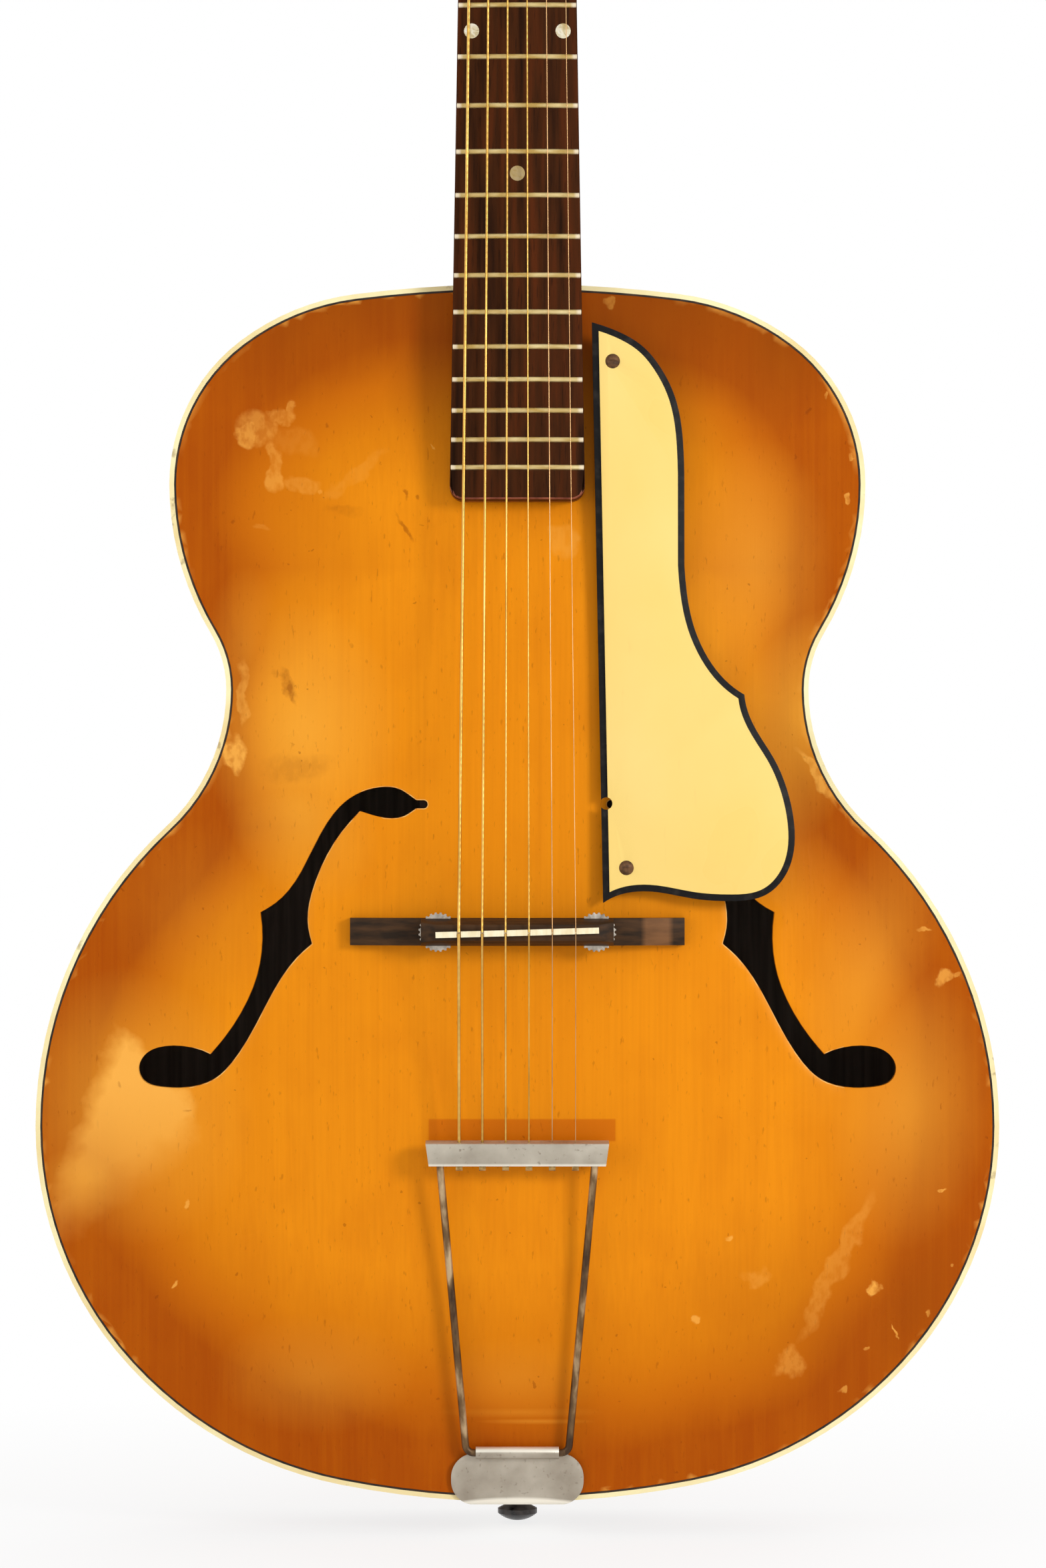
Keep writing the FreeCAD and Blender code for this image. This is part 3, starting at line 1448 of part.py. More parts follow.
def build_body():
    half_width = arch_sampler()
    front_face = arch_face(half_width, arch_rise, -1)
    back_face = arch_face(half_width, back_rise, 1)
    tenon_solid = tenon()
    front_tool = behind_face(front_face, -1, rim_depth / 2).common(body_prism(0, front(arch_rise + overrun), 0))
    body_tool = body_prism(0, -rim_depth / 2, rim_depth / 2)
    neck_block = make_block(body_length - neck_block_length, body_length, front_face, back_face).cut(tenon_solid)
    screws = make_bracket_screws()
    tail_block = make_block(-overrun, tail_block_length, front_face, back_face).cut(pin_bore()).cut(screws)
    save("top_plate", make_top_plate(front_face))
    save("back_plate", plate(back_face, back_rise, 1))
    save("ribs", make_ribs(tenon_solid, pin_bore().fuse(screws)))
    save("end_blocks", Part.makeCompound([neck_block, tail_block]))
    save("linings", make_linings([neck_block, tail_block, tenon_solid]))
    save("tone_bars", make_tone_bars(front_face))
    save("top_binding", body_ring(0, binding_width, -rim_depth / 2, -rib_depth / 2))
    save("back_binding", body_ring(0, binding_width, rib_depth / 2, rim_depth / 2))
    save("top_purfling", body_ring(binding_width, binding_width + purfling_width, front(0), front(-purfling_depth)))
    save("end_pin", make_end_pin())
    save("tailpiece_bracket", make_bracket(front_tool))
    save("bracket_screws", screws)
    save("bridge_base", make_bridge_base(front_tool))
    guard_screws = make_guard_screws()
    save("pickguard", make_pickguard())
    save("pickguard_screws", guard_screws)
    save("pickguard_spacers", make_guard_spacers(front_tool, guard_screws))
    save("neck", make_neck(tenon_solid, body_tool, front_tool))


def build_neck_fittings():
    blank = board_blank()
    dots = make_dots(blank)
    place = neck_placement()
    save("fretboard", turned(make_fretboard(blank, dots), place))
    save("position_dots", turned(dots, place))
    save("frets", turned(Part.makeCompound(make_frets()), place))
    save("nut", make_nut())
    save("headstock_veneer", make_veneer())


def build_bridge_and_strings():
    save("bridge_posts", make_bridge_posts())
    save("thumbwheel_bass", make_wheel(-1))
    save("thumbwheel_treble", make_wheel(1))
    save("bridge_saddle", make_saddle())
    save("saddle_insert", make_insert())
    save("strings", make_strings())
    save("string_tails", make_string_tails())
    save("string_heads", make_string_heads())
    save("tailpiece_bar", make_bar())
    save("tailpiece_trapeze", make_trapeze())


def build_tuners():
    strap = make_tuner_plate()
    save("tuner_plates", Part.makeCompound([seated(strap, -1), seated(strap, 1)]))
    save("tuner_plate_screws", Part.makeCompound([plate_screw_set(-1), plate_screw_set(1)]))
    bushings = [seated(make_bushing(z), side) for side in (-1, 1) for z in tuner_places]
    save("post_bushings", Part.makeCompound(bushings))
    for index, name in enumerate(string_names):
        side, z = tuner_slot(index)
        post, screw = make_post(z)
        winding = make_winding(index, z)
        print("winding", name, "least gap to itself", round(winding_self_gap(index), 3))
        save("tuner_post_" + name, seated(Part.makeCompound([post, screw, winding]), side))
        save("tuner_gear_" + name, seated(make_gear(z), side))
        save("tuner_worm_" + name, seated(make_worm(z), side))
        save("tuner_button_" + name, seated(make_button(z), side))


def main():
    os.makedirs("parts", exist_ok=True)
    build_body()
    build_neck_fittings()
    build_bridge_and_strings()
    build_tuners()


if __name__ == "__main__":
    main()
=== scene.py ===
import bpy
import json
import math
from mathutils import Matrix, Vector
from mathutils.kdtree import KDTree

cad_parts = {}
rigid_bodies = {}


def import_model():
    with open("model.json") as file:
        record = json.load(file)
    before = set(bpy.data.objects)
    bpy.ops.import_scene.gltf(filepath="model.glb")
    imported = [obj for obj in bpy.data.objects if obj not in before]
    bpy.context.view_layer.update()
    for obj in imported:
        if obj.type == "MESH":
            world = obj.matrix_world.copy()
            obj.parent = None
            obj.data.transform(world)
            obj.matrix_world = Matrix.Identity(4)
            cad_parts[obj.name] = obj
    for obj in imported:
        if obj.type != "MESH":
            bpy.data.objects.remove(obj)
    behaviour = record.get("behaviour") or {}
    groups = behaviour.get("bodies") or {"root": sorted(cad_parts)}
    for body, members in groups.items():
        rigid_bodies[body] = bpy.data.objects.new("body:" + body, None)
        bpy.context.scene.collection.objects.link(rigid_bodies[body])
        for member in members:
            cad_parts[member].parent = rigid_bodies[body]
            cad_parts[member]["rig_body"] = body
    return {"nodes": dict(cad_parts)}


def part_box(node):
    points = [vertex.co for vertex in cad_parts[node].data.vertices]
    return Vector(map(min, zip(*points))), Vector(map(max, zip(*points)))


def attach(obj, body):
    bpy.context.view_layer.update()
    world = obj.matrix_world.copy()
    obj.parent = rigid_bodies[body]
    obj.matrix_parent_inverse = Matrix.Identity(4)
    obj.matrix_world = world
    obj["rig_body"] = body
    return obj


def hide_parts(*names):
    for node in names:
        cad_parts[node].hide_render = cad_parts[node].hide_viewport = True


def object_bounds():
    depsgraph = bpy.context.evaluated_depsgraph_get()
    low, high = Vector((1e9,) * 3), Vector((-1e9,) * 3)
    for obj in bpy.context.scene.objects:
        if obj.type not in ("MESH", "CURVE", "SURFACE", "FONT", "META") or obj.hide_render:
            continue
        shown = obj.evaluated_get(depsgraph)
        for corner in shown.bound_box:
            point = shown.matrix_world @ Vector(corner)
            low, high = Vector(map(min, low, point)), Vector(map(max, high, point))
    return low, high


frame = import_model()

cad_box = [list(corner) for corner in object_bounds()]

# Studio
# The guitar hangs upright before plain white and is seen square to its front from 2.2 m away.
# A compact soft light stands to the right, as the shadow beside the fretboard shows, and a wide weak one
# to the left. A third one lights the back for the views from behind.
camera_place = (0.0024, -2.2425, 0.3152)
camera_lens = 118.6
camera_sensor = 36
room_level = 0.56
lights = (
    ("right_softbox", (1.55, -1.75, 0.85), 0.55, 23.0),
    ("left_softbox", (-1.7, -1.5, 0.55), 1.4, 9.0),
    ("back_softbox", (0.6, 2.0, 1.1), 1.4, 22.0),
)
floor_size = 12.0
floor_gap = 0.001
floor_colour = (0.96, 0.96, 0.955, 1)
floor_roughness = 0.9
floor_fade = (0.12, 0.5)
floor_glow = 0.8

bpy.ops.object.select_all(action="DESELECT")
bpy.ops.object.camera_add(location=camera_place, rotation=(math.pi / 2, 0, 0))
camera = bpy.context.object
camera.data.lens = camera_lens
camera.data.sensor_width = camera_sensor
bpy.context.scene.camera = camera
for light_name, light_place, light_size, light_power in lights:
    bpy.ops.object.light_add(type="AREA", location=light_place)
    light = bpy.context.object
    light.name = light_name
    light.data.energy = light_power
    light.data.size = light_size
    target = Vector((0, 0, camera_place[2]))
    light.rotation_euler = (target - light.location).to_track_quat("-Z", "Y").to_euler()

bpy.context.scene.view_settings.view_transform = "Standard"


def put(owner, kind, inputs=None, **settings):
    """A new node with its settings, and with a value or a wire on each of the inputs that are named."""
    node = owner.node_tree.nodes.new("ShaderNode" + kind)
    for setting, value in settings.items():
        setattr(node, setting, value)
    for key, value in (inputs or {}).items():
        if isinstance(value, bpy.types.NodeSocket):
            owner.node_tree.links.new(value, node.inputs[key])
        else:
            node.inputs[key].default_value = value
    return node


def calc(owner, operation, first, second=0.0):
    return put(owner, "Math", {0: first, 1: second}, operation=operation).outputs[0]


def spread(owner, value, low, high, out_low=0.0, out_high=1.0):
    """A value carried from one range to another, and held at its ends."""
    ends = {"Value": value, "From Min": low, "From Max": high, "To Min": out_low, "To Max": out_high}
    return put(owner, "MapRange", ends).outputs["Result"]


def seen_white(owner):
    """One where the camera, a reflection or a clear piece looks at a surface, and zero for other light."""
    path = put(owner, "LightPath").outputs
    seen = calc(owner, "MAXIMUM", path["Is Camera Ray"], path["Is Glossy Ray"])
    return calc(owner, "MAXIMUM", seen, path["Is Transmission Ray"])


def new_finish(name, roughness, metallic=0.0, specular=0.5, sheen=(1, 1, 1, 1)):
    """A material whose plain numbers sit on the shader's own sockets."""
    finish = bpy.data.materials.new(name)
    finish.use_nodes = True
    shader = finish.node_tree.nodes["Principled BSDF"]
    shader.inputs["Roughness"].default_value = roughness
    shader.inputs["Metallic"].default_value = metallic
    shader.inputs["Specular IOR Level"].default_value = specular
    shader.inputs["Specular Tint"].default_value = sheen
    return finish


def own_place(finish):
    return put(finish, "TexCoord").outputs["Object"]


world = bpy.data.worlds.new("studio")
world.use_nodes = True
bpy.context.scene.world = world
sky = world.node_tree.nodes["Background"]
sky.inputs["Color"].default_value = (1, 1, 1, 1)
sky_level = spread(world, seen_white(world), 0.0, 1.0, room_level, 1.0)
world.node_tree.links.new(sky_level, sky.inputs["Strength"])

bpy.ops.mesh.primitive_plane_add(size=floor_size, location=(0, 0, cad_box[0][2] - floor_gap))
floor = bpy.context.object
floor.name = "floor"
floor_paint = new_finish("floor_paint", floor_roughness, specular=0.0)
floor_tree = floor_paint.node_tree
pale = floor_tree.nodes["Principled BSDF"]
pale.inputs["Base Color"].default_value = floor_colour
floor_reach = put(floor_paint, "VectorMath", {0: own_place(floor_paint)}, operation="LENGTH").outputs["Value"]
floor_far = spread(floor_paint, floor_reach, *floor_fade, floor_glow, 1.0)
far_seen = calc(floor_paint, "MULTIPLY", floor_far, seen_white(floor_paint))
far_white = put(floor_paint, "Emission").outputs["Emission"]
far_mix = put(floor_paint, "MixShader", {"Fac": far_seen, 1: pale.outputs["BSDF"], 2: far_white})
floor_tree.links.new(far_mix.outputs["Shader"], floor_tree.nodes["Material Output"].inputs["Surface"])
floor.data.materials.append(floor_paint)

# Blocks, linings and tone bars
# Bare wood glued inside the body: a block at each end, strips round both edges and two bars under the top.
# They show only through the f-holes, so they keep their sawn surface and have no lacquer. The bars, close
# behind the holes, are painted dark brown as painted shade, for the shadow inside the body.


def tint(red, green, blue):
    """A colour as a paint chart gives it, from 0 to 255, turned into the light that a shader works in."""
    def linear(value):
        share = value / 255
        return share / 12.92 if share <= 0.04045 else ((share + 0.055) / 1.055) ** 2.4
    return linear(red), linear(green), linear(blue), 1


def wire(finish, value, socket):
    finish.node_tree.links.new(value, finish.node_tree.nodes["Principled BSDF"].inputs[socket])


def mix(finish, share, first, second):
    return put(finish, "Mix", {0: share, 6: first, 7: second}, data_type="RGBA").outputs[2]


def speckle(finish, scale, detail=4.0, distortion=0.0):
    """Cloudy noise on the piece's own coordinates, with a count of clouds in a metre along each axis."""
    counts = scale if isinstance(scale, tuple) else (scale, scale, scale)
    place = put(finish, "Mapping", {"Vector": own_place(finish), "Scale": counts}).outputs["Vector"]
    cloud = {"Vector": place, "Scale": 1.0, "Detail": detail, "Distortion": distortion}
    return put(finish, "TexNoise", cloud).outputs[0]


def colours(finish, value, stops):
    """A run of colours over a value, each with the share at which it is reached."""
    ramp = put(finish, "ValToRGB", {"Fac": value})
    elements = ramp.color_ramp.elements
    while len(elements) < len(stops):
        elements.new(1)
    for element, (share, colour) in zip(elements, stops):
        element.position = share
        element.color = colour
    return ramp.outputs["Color"]


def relief(finish, height, depth):
    """Real unevenness of the surface, of a depth in metres."""
    bump = put(finish, "Bump", {"Height": height, "Distance": depth, "Strength": 1.0})
    wire(finish, bump.outputs["Normal"], "Normal")


cloud_range = (0.3, 0.7)


def clouded(name, scale, *shades, ends=cloud_range, detail=4.0, distortion=0.0, gloss=None, depth=None,
            **plain):
    """A finish that runs through some shades over a cloudy noise, as its roughness and relief do if given."""
    finish = new_finish(name, **plain)
    cloud = speckle(finish, scale, detail, distortion)
    step = (ends[1] - ends[0]) / (len(shades) - 1)
    stops = [(ends[0] + step * order, shade) for order, shade in enumerate(shades)]
    wire(finish, colours(finish, cloud, stops), "Base Color")
    if gloss:
        wire(finish, spread(finish, cloud, *cloud_range, *gloss), "Roughness")
    if depth:
        relief(finish, cloud, depth)
    return finish


def dress(node, finish):
    """Gives a CAD node, as it stands, its finish."""
    slots = frame["nodes"][node].data.materials
    slots.clear()
    slots.append(finish)


bare_dark = tint(112, 96, 82)
bare_light = tint(150, 132, 116)
# Painted shade: the bars' wood is darkened to the shadow inside the body
bar_shade_dark = tint(30, 24, 20)
bar_shade_light = tint(50, 41, 34)
bare_grain = (420, 420, 9)
sawn_depth = 0.0001

bare_wood = clouded("bare_wood", bare_grain, bare_dark, bare_light,
                    detail=5.0, depth=sawn_depth, roughness=0.75, specular=0.25)
shaded_bar_wood = clouded("shaded_bar_wood", bare_grain, bar_shade_dark, bar_shade_light,
                       detail=5.0, depth=sawn_depth, roughness=0.8, specular=0.2)
for inner, inner_finish in (("end_blocks", bare_wood), ("linings", bare_wood), ("tone_bars", shaded_bar_wood)):
    dress(inner, inner_finish)

# Ribs
# Two thin strips of plain hardwood bent to the outline and lacquered brown, lighter along their middle.
# Their grain runs round the body, and their lacquer is duller than that of the plates.
rib_brown = tint(118, 54, 14)
rib_middle = tint(158, 80, 22)
rib_shade = tint(92, 40, 10)
rib_grain = (14, 520, 14)
rib_middle_share = 0.3
rib_streak_strength = 0.45
rib_depth = 0.00006
amber_sheen = (1.0, 0.72, 0.3, 1)
weld = 0.000002
smooth_angle = math.radians(32)
flat_angle = math.radians(0.2)


def pick(piece):
    bpy.ops.object.select_all(action="DESELECT")
    piece.select_set(True)
    bpy.context.view_layer.objects.active = piece


def merged_copy(node, name):
    """A piece of its own that starts from a CAD node's mesh, with its loose triangles joined."""
    piece = bpy.data.objects.new(name, frame["nodes"][node].data.copy())
    bpy.context.scene.collection.objects.link(piece)
    piece.data.materials.clear()
    pick(piece)
    if piece.data.has_custom_normals:
        bpy.ops.mesh.customdata_custom_splitnormals_clear()
    bpy.ops.object.mode_set(mode="EDIT")
    bpy.ops.mesh.select_all(action="SELECT")
    bpy.ops.mesh.remove_doubles(threshold=weld)
    bpy.ops.object.mode_set(mode="OBJECT")
    return piece


def round_edges(piece, width, segments=2):
    """Breaks the sharp edges of a piece, as sanding or a press does."""
    pick(piece)
    flatten = piece.modifiers.new("joined_flats", "DECIMATE")
    flatten.decimate_type = "DISSOLVE"
    flatten.angle_limit = flat_angle
    bpy.ops.object.modifier_apply(modifier=flatten.name)
    bevel = piece.modifiers.new("broken_edges", "BEVEL")
    bevel.width = width
    bevel.segments = segments
    bevel.limit_method = "ANGLE"
    bevel.angle_limit = smooth_angle
    bpy.ops.object.modifier_apply(modifier=bevel.name)


def ride_along(piece, node, finish):
    """Finishes a piece that was cut from a CAD node, on the same body and with the same slot."""
    pick(piece)
    bpy.ops.object.shade_smooth_by_angle(angle=smooth_angle)
    piece.data.materials.append(finish)
    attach(piece, frame["nodes"][node]["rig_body"])


def stand_for(piece, node, finish):
    """Finishes a piece that takes the place of its CAD node."""
    ride_along(piece, node, finish)
    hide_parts(node)


def renew(node, ending, finish, broken=None):
    """Puts a finished copy, with its edges broken to some width, in the place of its CAD node."""
    piece = merged_copy(node, node + ending)
    if broken:
        round_edges(piece, broken)
    stand_for(piece, node, finish)


def own_axes(finish):
    """The piece's own coordinates, as one value along each axis."""
    return put(finish, "SeparateXYZ", {0: own_place(finish)}).outputs


rib_lacquer = new_finish("rib_lacquer", 0.62, specular=0.03, sheen=amber_sheen)
rib_streaks = speckle(rib_lacquer, rib_grain, detail=5.0)
rib_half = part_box("ribs")[1].y
rib_across = calc(rib_lacquer, "ABSOLUTE", own_axes(rib_lacquer)["Y"])
rib_edge = spread(rib_lacquer, rib_across, rib_middle_share * rib_half, rib_half)
rib_colour = mix(rib_lacquer, rib_edge, rib_middle, rib_brown)
rib_streak_share = spread(rib_lacquer, rib_streaks, 0.35, 0.75, 0.0, rib_streak_strength)
wire(rib_lacquer, mix(rib_lacquer, rib_streak_share, rib_colour, rib_shade), "Base Color")
relief(rib_lacquer, rib_streaks, rib_depth)
renew("ribs", "_lacquered", rib_lacquer)

# Back
# An arched plate of plain hardwood like the ribs, with the same amber field fading to brown round its edge.
# It is glued to the ribs and blocks and bound with ivory plastic; a player's clothes have dulled its middle.
back_amber = tint(205, 118, 30)
back_tan = tint(178, 92, 20)
back_brown = tint(104, 44, 8)
back_grain = (300, 300, 10)
back_clouds = (9, 9, 7)
back_dull_clouds = 16
back_gloss = (0.24, 0.42)
back_streak_strength = 0.35
back_depth = 0.00005
burst_reach = 0.09
burst_drift = 0.014
longest_edge = 0.007
cut_rounds = 6
facing_in = -0.4


def choose_none(piece, kind):
    """Picks a piece with none of its edges or faces chosen."""
    pick(piece)
    bpy.ops.object.mode_set(mode="EDIT")
    bpy.ops.mesh.select_mode(type=kind)
    bpy.ops.mesh.select_all(action="DESELECT")
    bpy.ops.object.mode_set(mode="OBJECT")


def divide_long_edges(piece, length):
    """Cuts the long triangles of a large curved piece, so that what is painted on its points has no steps."""
    for attempt in range(cut_rounds):
        choose_none(piece, "EDGE")
        mesh = piece.data
        long_ones = 0
        for edge in mesh.edges:
            ends = [mesh.vertices[index].co for index in edge.vertices]
            edge.select = (ends[0] - ends[1]).length > length
            long_ones += edge.select
        if long_ones == 0:
            return
        bpy.ops.object.mode_set(mode="EDIT")
        bpy.ops.mesh.subdivide(number_cuts=1, ngon=False)
        bpy.ops.object.mode_set(mode="OBJECT")


def mark_rim(piece, edging):
    """Stores on each point of a plate how far it lies from the edging round it."""
    line = [vertex.co for vertex in frame["nodes"][edging].data.vertices]
    tree = KDTree(len(line))
    for index, point in enumerate(line):
        tree.insert((point.x, 0, point.z), index)
    tree.balance()
    rim = piece.data.attributes.new("rim", "FLOAT", "POINT")
    for index, vertex in enumerate(piece.data.vertices):
        rim.data[index].value = tree.find((vertex.co.x, 0, vertex.co.z))[2]
    return tree


def inner_faces(piece, finish, way):
    """Leaves the faces of a plate that look into the body as bare wood."""
    piece.data.materials.append(finish)
    for face in piece.data.polygons:
        if face.normal.y * way < facing_in:
            face.material_index = 1


def rim_of(finish):
    return put(finish, "Attribute", attribute_name="rim").outputs["Fac"]


back_lacquer = new_finish("back_lacquer", 0.3, specular=0.2, sheen=amber_sheen)
back_cloud = spread(back_lacquer, speckle(back_lacquer, back_clouds), 0.2, 0.8, -burst_drift, burst_drift)
back_from_rim = calc(back_lacquer, "ADD", rim_of(back_lacquer), back_cloud)
back_share = spread(back_lacquer, back_from_rim, 0.0, burst_reach)
back_colour = colours(back_lacquer, back_share, ((0.2, back_brown), (0.55, back_tan), (1.0, back_amber)))
back_streaks = speckle(back_lacquer, back_grain, detail=5.0)
back_streak_share = spread(back_lacquer, back_streaks, 0.35, 0.75, 0.0, back_streak_strength)
wire(back_lacquer, mix(back_lacquer, back_streak_share, back_colour, back_brown), "Base Color")
back_dull = speckle(back_lacquer, back_dull_clouds)
wire(back_lacquer, spread(back_lacquer, back_dull, *cloud_range, *back_gloss), "Roughness")
relief(back_lacquer, back_streaks, back_depth)
back = merged_copy("back_plate", "back_lacquered")
divide_long_edges(back, longest_edge)
mark_rim(back, "back_binding")
stand_for(back, "back_plate", back_lacquer)
inner_faces(back, bare_wood, 1)

# Top
# A carved arch of close-grained wood, sprayed from amber in the middle to brown at the edge and lacquered.
# Arms, picks and knocks have worn it: pale rubbed patches, scrapes, chips, dark dents and, above the bar,
# a strip that the bar once shaded. The sound holes are sawn through it and filed, with a nib at the top.
# Broad pale patches over it are painted sheen, and dark ones beside the fretboard are painted shadow.
top_gold = tint(238, 143, 15)
top_amber = tint(222, 128, 10)
top_tan = tint(203, 107, 6)
top_brown = tint(170, 74, 1)
top_worn = tint(254, 182, 79)
# Painted sheen, also the colour of two scuffs above the bracket
top_sheen_and_scuff = tint(252, 174, 56)
top_dent = tint(132, 52, 0)
top_unfaded = tint(206, 103, 6)
# Darker burst, also the colour of the painted shadow beside the fretboard
top_burst_and_shadow = tint(140, 62, 2)
top_filed = tint(255, 206, 124)
top_grain = (620, 620, 9)
top_grain_depth = 0.00005
top_bands = (95, 95, 2.2)
top_mottling = (40, 40, 26)
top_pores = (800, 800, 220)
top_clouds = 8
top_dull_clouds = (22, 22, 14)
top_gloss = (0.26, 0.42)
streak_strength = 0.22
band_strength = 0.14
mottle_strength = 0.3
waist_height = 0.352
waist_reach = 0.055
waist_lift = 3.2
light_sides = (0.19, 0.33)
light_sides_soft = 0.04
light_sides_lift = 0.3
wear_wander = 0.013
wander_clouds = 95.0
worn_grain = (360, 360, 240)
worn_fade = (1.15, 0.8)
worn_dulling = 0.25
dent_fade = (1.15, 0.6)
dent_sink = 2.0
soft_fade = (1.2, 0.1)
chip_count = 120.0
chip_size = 0.1
chip_strength = 0.42
pore_strength = 0.32
rubbed_rim = (0.0008, 0.0028)
rubbed_rim_clouds = 26
rubbed_rim_strength = 0.45
hole_margin = 0.02
hole_filed = 0.0006
hole_round = 0.0004
nib_place = (0.0413, 0.3066)
nib_size = (0.0054, 0.0022)
nib_round = 0.001
unfaded_low = (-0.0376, 0.1640)
unfaded_high = (0.0416, 0.1734)
unfaded_soft = 0.0004
unfaded_strength = 0.85

# Place across and up in millimetres, half width, half height, turn in degrees, how strong
worn_spots = (
    (-110.5, 467.0, 8.5, 6.4, 35, 0.34), (-115.0, 464.8, 4.0, 5.6, 0, 0.5),
    (-101.2, 471.7, 6.0, 3.0, 0, 0.3), (-96.0, 475.2, 2.2, 4.4, 0, 0.34),
    (-95.0, 461.0, 10.0, 6.0, 20, 0.1), (-103.3, 452.6, 3.0, 8.7, 0, 0.32),
    (-103.0, 443.9, 3.5, 5.2, 0, 0.40), (-91.6, 443.0, 8.7, 3.5, 0, 0.22),
    (-83.3, 440.0, 1.3, 1.3, 0, 0.45), (-106.4, 424.7, 4.3, 1.7, 0, 0.15),
    (-68.5, 447.3, 3.0, 18.0, 52, 0.12), (-120.4, 327.0, 4.6, 7.7, -15, 0.75),
    (-117.0, 353.3, 2.6, 13.0, 0, 0.35), (135.9, 109.8, 4.4, 34.0, 26, 0.22),
    (115.8, 68.8, 6.0, 6.0, 20, 0.30), (151.5, 100.5, 3.0, 3.2, 0, 0.75),
    (160.5, 82.1, 0.6, 3.4, -18, 0.65), (148.1, 74.4, 1.1, 1.2, 0, 0.5), (138.7, 58.6, 1.4, 1.4, 0, 0.45),
    (90.9, 124.5, 1.7, 1.4, 0, 0.6), (180.0, 142.6, 1.8, 0.8, 0, 0.6), (183.9, 110.4, 0.9, 1.1, 0, 0.5),
    (175.2, 90.6, 0.9, 1.9, 0, 0.5), (-146.1, 101.3, 1.0, 2.6, 30, 0.65), (181.2, 233.7, 3.2, 3.4, 0, 0.55),
    (173.5, 253.5, 3.6, 1.0, 0, 0.5), (75.4, 87.7, 1.2, 1.8, 30, 0.6), (126.5, 320.5, 2.4, 13.0, -35, 0.6),
    (-141.0, 137.0, 1.2, 2.0, 0, 0.55), (142.9, 455.4, 0.8, 2.0, 0, 0.55),
    (141.8, 436.5, 1.0, 2.5, 0, 0.55), (131.7, 481.7, 0.8, 1.6, 20, 0.4), (38.6, 518.5, 2.6, 2.0, 0, 0.3),
    (101.2, 106.2, 6.0, 4.0, 15, 0.22), (20.0, 418.0, 6.0, 7.0, 0, 0.25), (-36.3, 459.1, 1.6, 0.5, 20, 0.5),
    (186.0, 233.5, 2.2, 1.6, 0, 0.5),
)
# Painted sheen of the lamps on the lacquer; the last two are real scuffs above the bracket
sheen_and_scuff_spots = (
    (-92.0, 338.0, 36.0, 46.0, 0, 0.66), (120.0, 345.0, 22.0, 44.0, 0, 0.6),
    (-163.0, 178.0, 44.0, 50.0, -10, 0.5), (166.0, 178.0, 30.0, 52.0, 4, 0.42),
    (-92.0, 302.0, 26.0, 34.0, -30, 0.5), (-184.0, 148.0, 20.0, 18.0, 0, 0.5),
    (0.0, 62.0, 30.0, 16.0, 0, 0.2), (102.0, 408.0, 28.0, 46.0, 0, 0.36),
    (-140.0, 262.0, 30.0, 34.0, -30, 0.1), (-86.0, 64.0, 36.0, 22.0, 0, 0.26),
    (-116.0, 372.0, 14.0, 30.0, 0, 0.25), (150.0, 236.0, 22.0, 60.0, 20, 0.3),
    (1.3, 48.0, 30.0, 2.4, 0, 0.22), (8.0, 44.0, 22.0, 1.2, 0, 0.3),
)
# Darker burst near the neck and round the bouts; the last two are painted shadow beside the fretboard
burst_and_shadow_spots = (
    (-62.0, 532.0, 66.0, 40.0, -8, 0.75), (66.0, 528.0, 70.0, 44.0, 8, 0.9),
    (112.0, 506.0, 36.0, 34.0, 36, 0.7), (-98.0, 510.0, 40.0, 30.0, -30, 0.5),
    (122.0, 84.0, 60.0, 42.0, 30, 0.24), (168.0, 92.0, 24.0, 40.0, 24, 0.36),
    (-40.0, 502.0, 16.0, 40.0, 0, 0.45), (38.0, 512.0, 12.0, 26.0, 0, 0.5),
)
dark_spots = (
    (-98.9, 357.6, 3.6, 7.0, -24, 0.62), (-96.6, 353.0, 1.4, 3.6, -10, 0.6),
    (-94.1, 330.6, 0.9, 0.9, 0, 0.5), (-93.5, 321.7, 14.5, 6.4, 0, 0.2), (-48.1, 423.0, 1.0, 8.0, -32, 0.5),
    (124.0, 474.6, 0.9, 1.2, 0, 0.5), (-81.2, 467.4, 0.9, 1.4, 0, 0.4), (-48.1, 436.9, 1.2, 1.6, 0, 0.5),
    (-42.9, 436.9, 0.9, 1.5, 0, 0.45), (-120.7, 425.6, 0.7, 1.2, 0, 0.45), (-56.4, 451.5, 0.6, 0.6, 0, 0.5),
    (-70.3, 372.5, 1.6, 1.0, 0, 0.4), (-40.3, 425.2, 1.2, 0.5, 0, 0.4), (-74.2, 432.6, 7.8, 2.2, 0, 0.2),
    (-96.0, 407.3, 0.5, 0.5, 0, 0.5), (-141.0, 177.2, 1.6, 0.7, 0, 0.4), (-169.6, 186.0, 0.8, 1.0, 0, 0.35),
)
# A place on each edge of the bare field, in millimetres, the way out from it in degrees, and how soft it is
bare_edges = (
    (-180.3, 181.9, 160, 4.0), (-138.1, 175.0, 0, 3.0), (-156.7, 152.4, -55, 9.0), (-160.0, 201.0, 45, 3.0),
)
bare_fade = (0.142, 0.190)
bare_strengths = (0.25, 0.92)
millimetre = 0.001


def vector_calc(finish, operation, first, second, key=1, out="Vector"):
    return put(finish, "VectorMath", {0: first, key: second}, operation=operation).outputs[out]


